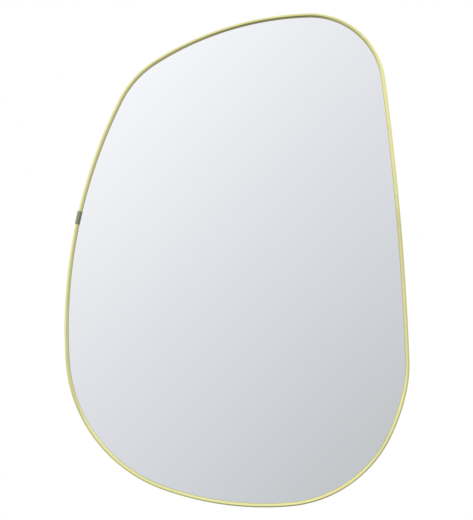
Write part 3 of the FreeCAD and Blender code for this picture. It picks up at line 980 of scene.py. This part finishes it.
def ground_glass(colours):
    """The ground edge of the glass, with grinding marks round it."""
    clear = {"IOR": 1.52, "Transmission Weight": 0.25}
    look = (0.75, (2600.0, 2.0), {"y": 0.15}, (0.28, 0.42), (0.02, 0.4))
    return streaked("mirror_glass_edge", colours.glass_edge, *look, **clear)


def mirror_paint(colours):
    """The paint that seals the silvering, with the run of its curtain coater."""
    look = (0.8, (40.0, 3.0), {"x": 0.2}, (0.42, 0.55), (0.03, 0.3))
    return streaked("mirror_back_paint", colours.mirror_back, *look)


def scrim_film(colours):
    """Safety film with a fine woven scrim under its surface."""
    finish = Finish("safety_film_scrim")
    x, _, z = finish.split(finish.space)
    threads = [finish.math("PINGPONG", place * 400.0, 0.5) for place in (x + z, x - z)]
    weave = finish.math("MINIMUM", *threads)
    thread = finish.remap(weave, 0.0, 0.09, 1.0, 0.0)
    wrinkles = finish.noise(25.0, detail=3.0)
    tone = finish.blend(wrinkles, colours.film, shade(colours.film, 0.86))
    finish.paint(
        finish.blend(thread * 0.5, tone, shade(colours.film, 1.35)),
        finish.remap(wrinkles, 0.3, 0.7, 0.28, 0.4),
    )
    return finish.relief(thread * 0.4 + wrinkles * 0.6, 0.06, 0.4)


def cell_foam(colours):
    """Closed-cell foam tape."""
    finish = Finish("foam_cells", **{"Subsurface Weight": 0.1})
    cells = finish.cells(1500.0)
    clouds = finish.noise(60.0)
    tone = finish.blend(clouds, colours.foam, shade(colours.foam, 0.88))
    pores = finish.remap(cells, 0.0, 0.5, 0.4, 0.0)
    tone = finish.blend(pores, tone, shade(colours.foam, 0.6))
    finish.paint(tone, finish.remap(clouds, 0.3, 0.7, 0.8, 0.9))
    return finish.relief(cells, 0.15, 0.6)


def bare_fibreboard(colours):
    """Medium-density fibreboard: felted fibres at all angles, darker specks and sanding bands."""
    finish = Finish("fibreboard_felted")
    clouds = finish.noise(4.0, detail=4.0, roughness=0.6)
    felt = None
    for degrees in (12, 71, 133):
        lying = finish.stretched(x=0.25, turned=math.radians(degrees))
        fibre = finish.noise(1300.0, detail=3.0, roughness=0.65, vector=lying, distortion=1.2)
        felt = fibre if felt is None else finish.math("MAXIMUM", felt, fibre)
    grains = finish.noise(2400.0, detail=2.0)
    specks = finish.cells(170.0)
    sanding = finish.noise(26.0, detail=2.0, vector=finish.stretched(z=0.03))
    tone = finish.blend(
        finish.remap(clouds, 0.3, 0.7), shade(colours.board, 0.90), shade(colours.board, 1.08)
    )
    for pattern, low, high, share, factor in (
        (felt, 0.50, 0.68, 0.35, 1.35),
        (grains, 0.52, 0.70, 0.30, 0.6),
        (specks, 0.10, 0.03, 0.55, 0.4),
        (sanding, 0.40, 0.70, 0.10, 0.7),
    ):
        tone = finish.touched(tone, pattern, low, high, share, shade(colours.board, factor))
    finish.paint(tone, finish.remap(felt, 0.4, 0.7, 0.88, 0.74))
    return finish.relief(felt * 0.8 + grains * 0.2, 0.10, 0.45)


def moulded_block(colours):
    """Black extruded setting block, slightly greyed by dust."""
    finish = Finish("setting_block_black")
    grain = finish.noise(1600.0, detail=3.0)
    dust = finish.noise(70.0, detail=3.0)
    tone = finish.touched(colours.block, dust, 0.5, 0.8, 0.3, (0.11, 0.105, 0.10))
    finish.paint(tone, finish.remap(grain, 0.3, 0.7, 0.5, 0.7))
    return finish.relief(grain, 0.04, 0.5)


def plated_steel(name, base, warm, dullness, scratch_scale):
    """Plated steel: cloudy passivation, fine handling scratches and duller patches."""
    finish = Finish(name, metallic=1.0)
    clouds = finish.noise(160.0, detail=4.0, distortion=0.6)
    along = finish.stretched(x=0.08)
    scratches = finish.noise(scratch_scale, detail=3.0, roughness=0.7, vector=along)
    grain = finish.noise(3200.0, detail=2.0)
    tone = finish.blend(finish.remap(clouds, 0.35, 0.7), base, warm)
    tone = finish.touched(tone, scratches, 0.60, 0.75, 0.5, shade(base, 0.55))
    cloudy = finish.remap(clouds, 0.3, 0.7, 0.0, 0.12)
    scratched = finish.remap(scratches, 0.55, 0.75, 0.0, 0.12)
    finish.paint(tone, dullness + cloudy + scratched)
    return finish.relief(grain * 0.5 + scratches * 0.5, 0.012, 0.4)


PLATINGS = {
    "zinc": ((0.66, 0.62, 0.50), 0.26, 900.0),
    "nickel": ((0.60, 0.57, 0.51), 0.20, 1200.0),
}


def plating(metal, colours):
    """Zinc or nickel plating, made once."""
    name = f"{metal}_plating"
    made = bpy.data.materials.get(name)
    return made or plated_steel(name, getattr(colours, metal), *PLATINGS[metal])


def wall_rubber(colours):
    """Moulded rubber, rubbed grey where it touches the wall."""
    finish = Finish("pad_rubber_moulded")
    grain = finish.noise(2200.0, detail=3.0)
    rub = finish.noise(300.0, detail=3.0)
    _, depth, _ = finish.split(finish.space)
    near_wall = finish.remap(depth, cad_high.y - 0.9 * MM, cad_high.y, 0.0, 1.0, smooth=True)
    worn = near_wall * finish.remap(rub, 0.35, 0.65, 0.3, 1.0)
    finish.paint(
        finish.blend(worn * 0.6, colours.rubber, (0.13, 0.125, 0.12)),
        finish.remap(grain, 0.3, 0.7, 0.60, 0.78) + worn * 0.1,
    )
    return finish.relief(grain, 0.05, 0.6)


# -------------------------------------------------------------------------------------- operators


def edge_line(scene):
    return EdgeLine(scene.mirror_outline, scene.mirror_rim.joint_bearing)


def depths(scene):
    return Depths(scene.mirror_rim, scene.mirror_layers, scene.mirror_hangers)


def folded(scene, name, places, offsets, tip_angle, material):
    """A sheet folded over the edge along some places of the outline."""
    rim = scene.mirror_rim
    deep = depths(scene)
    sizes = [
        rim.bead_width / 2,
        rim.crest_shift,
        deep.channel_depth,
        rim.bend_radius,
        rim.lip_width,
        *offsets,
        tip_angle,
        rim.lip_softness,
        deep.bead_front,
        BEAD_POINTS,
    ]
    piece = grown(name, flat_path(name, places), channel_graph(), sizes, material)
    return softened(piece, rim.end_softness)


class MIRROR_OT_rim(Operator):
    """Rolls the brass channel round the outline"""

    bl_idname = "mirror.rim"
    bl_label = "Brass Rim"

    def execute(self, context):
        scene = context.scene
        rim = scene.mirror_rim
        line = edge_line(scene)
        half_gap = rim.joint_gap / 2
        places = line.run(half_gap, line.perimeter - half_gap, scene.mirror_outline.path_step)
        colours = scene.mirror_finish
        brass = rolled_brass("channel_brass_rolled", colours.brass, colours.tarnish, 0.16, 0.35)
        piece = folded(scene, "brass_rim", places, (-rim.sheet, 0.0), 0.0, brass)
        settle(piece, "frame_channel")
        return {"FINISHED"}


class MIRROR_OT_joint(Operator):
    """Clips the aged sleeve over the channel's joint and dresses the tongue inside it"""

    bl_idname = "mirror.joint"
    bl_label = "Joint Sleeve and Tongue"

    def execute(self, context):
        scene = context.scene
        rim = scene.mirror_rim
        colours = scene.mirror_finish
        half = rim.sleeve_length / 2
        outer = rim.sleeve_clearance + rim.sleeve_sheet
        bead = rim.bead_width / 2
        places = edge_line(scene).run(-half, half, SLEEVE_STEP)
        aged = rolled_brass("aged_brass_sleeve", colours.aged, shade(colours.aged, 0.6), 0.34, 0.8)
        offsets = (rim.sleeve_clearance, outer)
        tip_angle = math.acos(bead / (bead + outer))
        piece = folded(scene, "brass_sleeve", places, offsets, tip_angle, aged)
        settle(piece, "joint_sleeve")
        dress("joint_tongue", plating("zinc", colours))
        return {"FINISHED"}


def stacked_rings(line, step, stations):
    """Faces of a closed solid that follows the outline, between fans at its front and its back.

    Each station is an inset, a depth and the material of the faces that lead on to the next one.
    """
    shell = bmesh.new()
    rings = [
        [shell.verts.new((x, depth, z)) for x, z in line.ring(step, inset)]
        for inset, depth, _ in stations
    ]
    for (near, far), (_, _, material) in zip(zip(rings, rings[1:]), stations):
        for index in range(len(near)):
            after = (index + 1) % len(near)
            face = shell.faces.new((near[index], near[after], far[after], far[index]))
            face.material_index = material
    for end, material in ((0, PANE_FACE), (-1, PANE_BACK)):
        ring = rings[end]
        hub = shell.verts.new((0.0, stations[end][1], 0.0))
        for index in range(len(ring)):
            face = shell.faces.new((ring[index], ring[(index + 1) % len(ring)], hub))
            face.material_index = material
    return shell


class MIRROR_OT_pane(Operator):
    """Cuts the silvered glass with its ground edge, and dresses the film on its back"""

    bl_idname = "mirror.pane"
    bl_label = "Mirror Glass and Film"

    def execute(self, context):
        scene = context.scene
        layers = scene.mirror_layers
        colours = scene.mirror_finish
        deep = depths(scene)
        inset = scene.mirror_rim.sheet + layers.edge_play
        arris = layers.arris
        stations = [
            (inset + arris, deep.glass_front, PANE_EDGE),
            (inset, deep.glass_front + arris, PANE_EDGE),
            (inset, deep.glass_back - arris, PANE_EDGE),
            (inset + arris, deep.glass_back, PANE_BACK),
        ]
        shell = stacked_rings(edge_line(scene), scene.mirror_outline.path_step, stations)
        pane = piece_from("silvered_pane", shell)
        for material in (silvered_glass(colours), ground_glass(colours), mirror_paint(colours)):
            pane.data.materials.append(material)
        closed_and_outward(pane.data, sharp_degrees=20)
        settle(pane, "mirror_pane")
        dress("safety_film", scrim_film(colours))
        return {"FINISHED"}


class MIRROR_OT_backing(Operator):
    """Dresses the foam tape, the backboard and the blocks round the glass"""

    bl_idname = "mirror.backing"
    bl_label = "Backboard, Tape and Blocks"

    def execute(self, context):
        colours = context.scene.mirror_finish
        foam = cell_foam(colours)
        block = moulded_block(colours)
        for node in frame["nodes"]:
            if node.startswith("foam_tape"):
                dress(node, foam)
            if node.startswith(("setting_block", "edge_spacer")):
                dress(node, block)
        dress("backboard", bare_fibreboard(colours))
        return {"FINISHED"}


def screw_set(scene, name, node, places, kind):
    """Screws of one kind on a list of places, in one piece."""
    screws = scene.mirror_screws
    sizes = [
        *(getattr(screws, f"{kind}_{part}") for part in ("shank", "head", "head_height", "length")),
        screws.point_length,
        screws.thread_pitch,
        screws.thread_depth,
        screws.turn_seed + len(places),
    ]
    tree = bpy.data.node_groups.get("Pan-head screws on points") or screw_graph()
    zinc = plating("zinc", scene.mirror_finish)
    piece = weighted(grown(name, loose_points(name, places), tree, sizes, zinc))
    settle(piece, node)


def hanger_screw_heights(screws, hinge_height):
    """Heights of a hanger's screws, from the top down."""
    return [
        hinge_height - screws.first_drop - index * screws.hanger_spacing
        for index in range(HANGER_SCREWS)
    ]


class MIRROR_OT_screws(Operator):
    """Drives the screws of the rim, its joint and the hangers"""

    bl_idname = "mirror.screws"
    bl_label = "Screws"

    def execute(self, context):
        scene = context.scene
        screws = scene.mirror_screws
        rim = scene.mirror_rim
        deep = depths(scene)
        line = edge_line(scene)
        inset = (rim.bend_radius + rim.lip_width) / 2
        step = line.perimeter / screws.rim_count

        def on_lip(distance, depth):
            x, z = line.place(distance, inset)
            return (x, depth, z)

        round_rim = [
            on_lip((index + 0.5) * step, deep.channel_back) for index in range(screws.rim_count)
        ]
        screw_set(scene, "rim_screw_set", "rim_screws", round_rim, "rim")
        at_joint = [
            on_lip(side * screws.joint_spacing / 2, deep.sleeve_back) for side in SIDES.values()
        ]
        screw_set(scene, "joint_screw_pair", "joint_screws", at_joint, "rim")
        for side in SIDES:
            x, _, z = hinge(side)
            pair = [(x, deep.strap_back, height) for height in hanger_screw_heights(screws, z)]
            screw_set(scene, f"hanger_screw_pair_{side}", f"hanger_screws_{side}", pair, "hanger")
        return {"FINISHED"}


def hinge(side):
    """Where a ring turns, from the frame's joint."""
    for joint in frame["joints"]:
        if joint["child"] == f"ring_{side}":
            return Vector(joint["pos_m"])
    raise ValueError(f"the frame has no joint for the {side} ring")


def strap_line(hangers):
    """The folded sheet's middle line, as heights from the hinge and distances off the board."""
    sheet = hangers.strap_sheet
    outer = hangers.loop_inner + sheet
    middle = hangers.loop_inner + sheet / 2
    slope = 2 * math.atan2(hangers.loop_inner, hangers.strap_closing)
    last_angle = QUARTER_TURN + slope
    line = [(-hangers.strap_length, sheet / 2)]
    for index in range(LOOP_STEPS + 1):
        angle = -QUARTER_TURN + (last_angle + QUARTER_TURN) * index / LOOP_STEPS
        line.append((middle * math.cos(angle), outer + middle * math.sin(angle)))
    height, off_board = line[-1]
    landing = 1.5 * sheet
    run = (off_board - landing) / math.tan(slope)
    line.append((height - run, landing))
    line.append((-hangers.strap_length, landing))
    return line


def offset_line(line, distance):
    """A line moved sideways, mitred at its corners."""
    moved = []
    for index, (height, off_board) in enumerate(line):
        before = Vector(line[max(index - 1, 0)])
        here = Vector((height, off_board))
        after = Vector(line[min(index + 1, len(line) - 1)])
        into = (here - before).normalized() if index else (after - here).normalized()
        out = (after - here).normalized() if index < len(line) - 1 else into
        normal = Vector((-(into.y + out.y), into.x + out.x)).normalized()
        mitre = distance / max(SHORTEST_MITRE, normal.dot(Vector((-into.y, into.x))))
        moved.append(here + normal * mitre)
    return moved


def prism(name, corners, axis, low, high):
    """A flat outline made deep along one axis, its corners given along the other two."""
    shell = bmesh.new()
    face = shell.faces.new(
        [shell.verts.new((*corner[:axis], low, *corner[axis:])) for corner in corners]
    )
    made = bmesh.ops.extrude_face_region(shell, geom=[face])
    for item in made["geom"]:
        if isinstance(item, bmesh.types.BMVert):
            item.co[axis] = high
    bmesh.ops.recalc_face_normals(shell, faces=shell.faces)
    return piece_from(name, shell)


def arc_places(x, z, radius, begin, end, steps):
    """Places on an arc of the front view."""
    angles = [begin + (end - begin) * index / steps for index in range(steps + 1)]
    return [(x + radius * math.cos(angle), z + radius * math.sin(angle)) for angle in angles]


def cut_with(piece, tool, operation):
    """Applies an exact Boolean and removes the tool."""
    cut = piece.modifiers.new("Cut", "BOOLEAN")
    cut.operation = operation
    cut.solver = "EXACT"
    cut.object = tool
    mesh = evaluated_mesh(piece)
    piece.modifiers.remove(cut)
    piece.data = mesh
    bpy.data.objects.remove(tool)


def in_order(mesh):
    """Sorts a mesh by place, because a Boolean leaves its vertices and faces in any order."""
    places = [
        tuple(round(number, PLACE_DIGITS) for number in vertex.co) for vertex in mesh.vertices
    ]
    ranked = sorted(range(len(places)), key=places.__getitem__)
    rank = {index: place for place, index in enumerate(ranked)}
    faces = []
    for face in mesh.polygons:
        corners = [rank[index] for index in face.vertices]
        first = corners.index(min(corners))
        faces.append(corners[first:] + corners[:first])
    mesh.clear_geometry()
    mesh.from_pydata([places[index] for index in ranked], [], sorted(faces))
    return mesh


class MIRROR_OT_straps(Operator):
    """Folds the two strap hangers round their rings"""

    bl_idname = "mirror.straps"
    bl_label = "Strap Hangers"

    def execute(self, context):
        scene = context.scene
        hangers = scene.mirror_hangers
        screws = scene.mirror_screws
        board_back = depths(scene).board_back
        half = hangers.strap_width / 2
        thick = hangers.strap_sheet - hangers.strap_seam
        line = strap_line(hangers)
        sheet = offset_line(line, thick / 2) + offset_line(line, -thick / 2)[::-1]
        for side in SIDES:
            x, _, z = hinge(side)
            corners = [(board_back + off_board, z + height) for height, off_board in sheet]
            strap = prism(f"steel_strap_{side}", corners, 0, x - half, x + half)
            through = (1, board_back - half, board_back + half)
            low = z - hangers.strap_length + half
            plan = [(x + half, z + half), (x - half, z + half)]
            # The margin keeps the sides of the plan off the sides of the strap.
            foot = half - PLAN_MARGIN
            plan += arc_places(x, low, foot, math.pi, FULL_TURN, STRAP_FOOT_STEPS)
            cut_with(strap, prism("plan", plan, *through), "INTERSECT")
            radius = screws.hanger_shank / 2 + HOLE_CLEARANCE
            for height in hanger_screw_heights(screws, z):
                circle = arc_places(x, height, radius, 0.0, FULL_TURN, HOLE_SIDES)[:-1]
                cut_with(strap, prism("drill", circle, *through), "DIFFERENCE")
            closed_and_outward(in_order(strap.data))
            strap.data.materials.clear()
            strap.data.materials.append(plating("nickel", scene.mirror_finish))
            softened(strap, hangers.strap_softness, degrees=40)
            settle(strap, f"hanger_strap_{side}")
        return {"FINISHED"}


class MIRROR_OT_rings(Operator):
    """Bends the two wire rings, each on a body of its own"""

    bl_idname = "mirror.rings"
    bl_label = "Wire Rings"

    def execute(self, context):
        hangers = context.scene.mirror_hangers
        fields = ("wire", "ring_width", "ring_height", "ring_corner", "ring_lean")
        sizes = [getattr(hangers, field) for field in fields]
        nickel = plating("nickel", context.scene.mirror_finish)
        tree = ring_graph()
        for side in SIDES:
            name = f"steel_ring_{side}"
            at_origin = loose_points(name, [(0, 0, 0)])
            ring = grown(name, at_origin, tree, [*sizes, hinge(side)], nickel)
            settle(ring, f"hanger_ring_{side}", body=f"ring_{side}")
        return {"FINISHED"}


class MIRROR_OT_pads(Operator):
    """Turns the two rubber pads that keep the lower edge off the wall"""

    bl_idname = "mirror.pads"
    bl_label = "Wall Pads"

    def execute(self, context):
        scene = context.scene
        hangers = scene.mirror_hangers
        parts = ("base", "face", "depth", "edge", "dimple", "dimple_depth")
        sizes = [getattr(hangers, f"pad_{part}") for part in parts]
        rubber = wall_rubber(scene.mirror_finish)
        tree = pad_graph()
        for side in SIDES:
            name = f"rubber_pad_{side}"
            low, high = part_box(f"wall_pad_{side}")
            seat = ((low.x + high.x) / 2, depths(scene).board_back, (low.z + high.z) / 2)
            pad = weighted(grown(name, loose_points(name, [seat]), tree, sizes, rubber))
            settle(pad, f"wall_pad_{side}")
        return {"FINISHED"}


# ------------------------------------------------------------------------------------------ stage


class Surround(SurfaceGraph):
    """Nodes of a stage material or of the world."""

    def backdrop_rays(self):
        """1 for the camera's rays, and 1 for those and any off metal or through glass."""
        rays = self.node("ShaderNodeLightPath").outputs
        camera, glossy, through = (
            Wire(self, rays[f"Is {kind} Ray"]) for kind in ("Camera", "Glossy", "Transmission")
        )
        return camera, self.math("MAXIMUM", self.math("MAXIMUM", camera, glossy), through)

    def ramp(self, value, stops):
        """A smooth scale. A stop is a place, then a grey or a red, a green and a blue."""
        node = self.node("ShaderNodeValToRGB", {"Fac": value})
        elements = node.color_ramp.elements
        while len(elements) < len(stops):
            elements.new(0.5)
        for element, (place, *tone) in zip(elements, stops):
            element.position = place
            element.color = (*(tone * 3)[:3], 1.0)
        return Wire(self, node.outputs["Color"])


PAPER = (0.85, 0.85, 0.85, 1.0)
PAPER_GLOW = 0.5
# Tones that metal and glass see, from low to high, ahead of the mirror and behind it
AHEAD = (
    (0.00, 0.50),
    (0.20, 0.48),
    (0.33, 0.52, 0.525, 0.53),
    (0.40, 0.60, 0.615, 0.62),
    (0.50, 0.785, 0.785, 0.80),
    (0.60, 1.00, 0.99, 0.99),
    (0.65, 0.97),
    (0.73, 0.90),
    (0.80, 1.00),
    (0.94, 1.00),
    (1.00, 0.95),
)
BEHIND = ((0.00, 0.32), (0.35, 0.44, 0.44, 0.45), (0.50, 0.66), (0.65, 0.92), (1.00, 0.97))
PALE_SCREEN = (0.98, 0.98, 0.98)
SCREEN_SHARE = 0.62
# The dark stand ahead, in the x and z of a direction: its middle, and where its sides, top and
# foot fade in
DARK_STAND = (0.08, 0.08, 0.085)
STAND_SHARE = 0.88
STAND_MIDDLE = 0.11
STAND_SIDES = (0.36, 0.14)
STAND_TOP = (-0.34, -0.54)
STAND_FOOT = (-0.97, -0.84)


def studio_world(stage):
    """White to the camera. Metal and glass see a studio: bright above, with a dark stand below."""
    world = bpy.data.worlds.new("Studio")
    world.use_nodes = True
    graph = Surround(world.node_tree)
    x, y, z = graph.split(graph.add("ShaderNodeTexCoord", out="Generated"))
    sideways = graph.remap(x, -0.25, 0.25, -0.17, 0.17, smooth=True)
    ahead = graph.ramp(graph.remap(z - sideways, -1.2, 1.2), AHEAD)
    off_stand = graph.math("ABSOLUTE", x - STAND_MIDDLE)
    across = graph.remap(off_stand, *STAND_SIDES, smooth=True)
    below = graph.remap(z, *STAND_TOP, smooth=True) * graph.remap(z, *STAND_FOOT, smooth=True)
    ahead = graph.blend(across * below * STAND_SHARE, ahead, DARK_STAND)
    behind = graph.ramp(graph.remap(z + x * 0.15, -1.0, 1.0), BEHIND)
    low_left = graph.remap(z * 0.1 - x, 0.0, 0.12, smooth=True)
    behind = graph.blend(low_left * SCREEN_SHARE, behind, PALE_SCREEN)
    picture = graph.blend(graph.remap(y, -0.1, 0.6, smooth=True), ahead, behind)
    camera, backdrop = graph.backdrop_rays()
    seen = graph.blend(camera, picture, (1.0, 1.0, 1.0))
    lit = (stage.light_level,) * 3
    inputs = {"Color": graph.blend(backdrop, lit, seen), "Strength": 1.0}
    graph.node("ShaderNodeOutputWorld", {"Surface": graph.add("ShaderNodeBackground", inputs)})
    return world


def studio_floor(stage):
    """A wide pale floor that shows white away from shadows."""
    half = stage.floor_size / 2
    drop = -stage.floor_drop
    corners = [(-half, -half, drop), (half, -half, drop), (half, half, drop), (-half, half, drop)]
    mesh = bpy.data.meshes.new("studio_floor")
    mesh.from_pydata(corners, [], [(0, 1, 2, 3)])
    material = bpy.data.materials.new("pale_floor")
    material.use_nodes = True
    graph = Surround(material.node_tree)
    paper = graph.add("ShaderNodeBsdfDiffuse", {"Color": PAPER})
    _, backdrop = graph.backdrop_rays()
    glow = graph.add("ShaderNodeEmission", {"Strength": backdrop * PAPER_GLOW})
    both = graph.add("ShaderNodeAddShader", {0: paper, 1: glow})
    graph.node("ShaderNodeOutputMaterial", {"Surface": both})
    mesh.materials.append(material)
    floor = link(bpy.data.objects.new("studio_floor", mesh))
    floor.visible_glossy = False


def soft_lamp(name, place, width, height, level, mirrored=False):
    """A large lamp aimed at the mirror, as bright per area as a wall of that level.

    Metal and glass see the studio picture in place of a lamp that isn't mirrored.
    """
    light = bpy.data.lights.new(name, "AREA")
    light.shape = "RECTANGLE"
    light.size = width
    light.size_y = height
    light.energy = level * math.pi * width * height
    lamp = link(bpy.data.objects.new(name, light))
    lamp.location = place
    lamp.rotation_euler = (-Vector(place)).to_track_quat("-Z", "Y").to_euler()
    lamp.visible_camera = False
    lamp.visible_glossy = mirrored


class MIRROR_OT_stage(Operator):
    """Sets up the floor, the soft light and the camera"""

    bl_idname = "mirror.stage"
    bl_label = "Studio and Camera"

    def execute(self, context):
        scene = context.scene
        stage = scene.mirror_stage
        scene.world = studio_world(stage)
        studio_floor(stage)
        soft_lamp("key_lamp", (-0.8, -1.8, 2.0), 3.0, 2.0, stage.key_level)
        soft_lamp("side_lamp", (1.75, -0.9, 0.95), 0.9, 1.2, stage.side_level, mirrored=True)
        soft_lamp("fill_lamp", (1.2, 2.2, 1.6), 3.0, 2.0, stage.fill_level)
        camera_data = bpy.data.cameras.new("photo_camera")
        camera_data.lens = stage.lens
        camera_data.sensor_width = SENSOR_WIDTH
        camera = link(bpy.data.objects.new("photo_camera", camera_data))
        away = depths(scene).bead_front - stage.distance
        camera.location = (stage.aim_x, away, stage.aim_z)
        camera.rotation_euler = (QUARTER_TURN, 0.0, 0.0)
        scene.camera = camera
        scene.view_settings.view_transform = "Standard"
        return {"FINISHED"}


# ------------------------------------------------------------------------------------------ panel


OPERATORS = (
    MIRROR_OT_rim,
    MIRROR_OT_joint,
    MIRROR_OT_pane,
    MIRROR_OT_backing,
    MIRROR_OT_screws,
    MIRROR_OT_straps,
    MIRROR_OT_rings,
    MIRROR_OT_pads,
    MIRROR_OT_stage,
)


class MIRROR_PT_pieces(Panel):
    """Lists the pieces of the mirror and their sizes"""

    bl_label = "Irregular Shaped Mirror"
    bl_idname = "MIRROR_PT_pieces"
    bl_space_type = "VIEW_3D"
    bl_region_type = "UI"
    bl_category = "Mirror"

    def draw(self, context):
        column = self.layout.column(align=True)
        for operator in OPERATORS:
            column.operator(operator.bl_idname)
        for name, group in GROUPS.items():
            box = self.layout.box()
            box.label(text=group.__doc__)
            for given in group.__annotations__:
                box.prop(getattr(context.scene, name), given)


CLASSES = (*GROUPS.values(), *OPERATORS, MIRROR_PT_pieces)


def register():
    for given in CLASSES:
        bpy.utils.register_class(given)
    for name, group in GROUPS.items():
        setattr(bpy.types.Scene, name, PointerProperty(type=group))


def unregister():
    for name in GROUPS:
        delattr(bpy.types.Scene, name)
    for given in reversed(CLASSES):
        bpy.utils.unregister_class(given)


def main():
    """Builds every piece and the stage."""
    register()
    bpy.ops.mirror.rim()
    bpy.ops.mirror.joint()
    bpy.ops.mirror.pane()
    bpy.ops.mirror.backing()
    bpy.ops.mirror.screws()
    bpy.ops.mirror.straps()
    bpy.ops.mirror.rings()
    bpy.ops.mirror.pads()
    bpy.ops.mirror.stage()


if __name__ == "__main__":
    main()
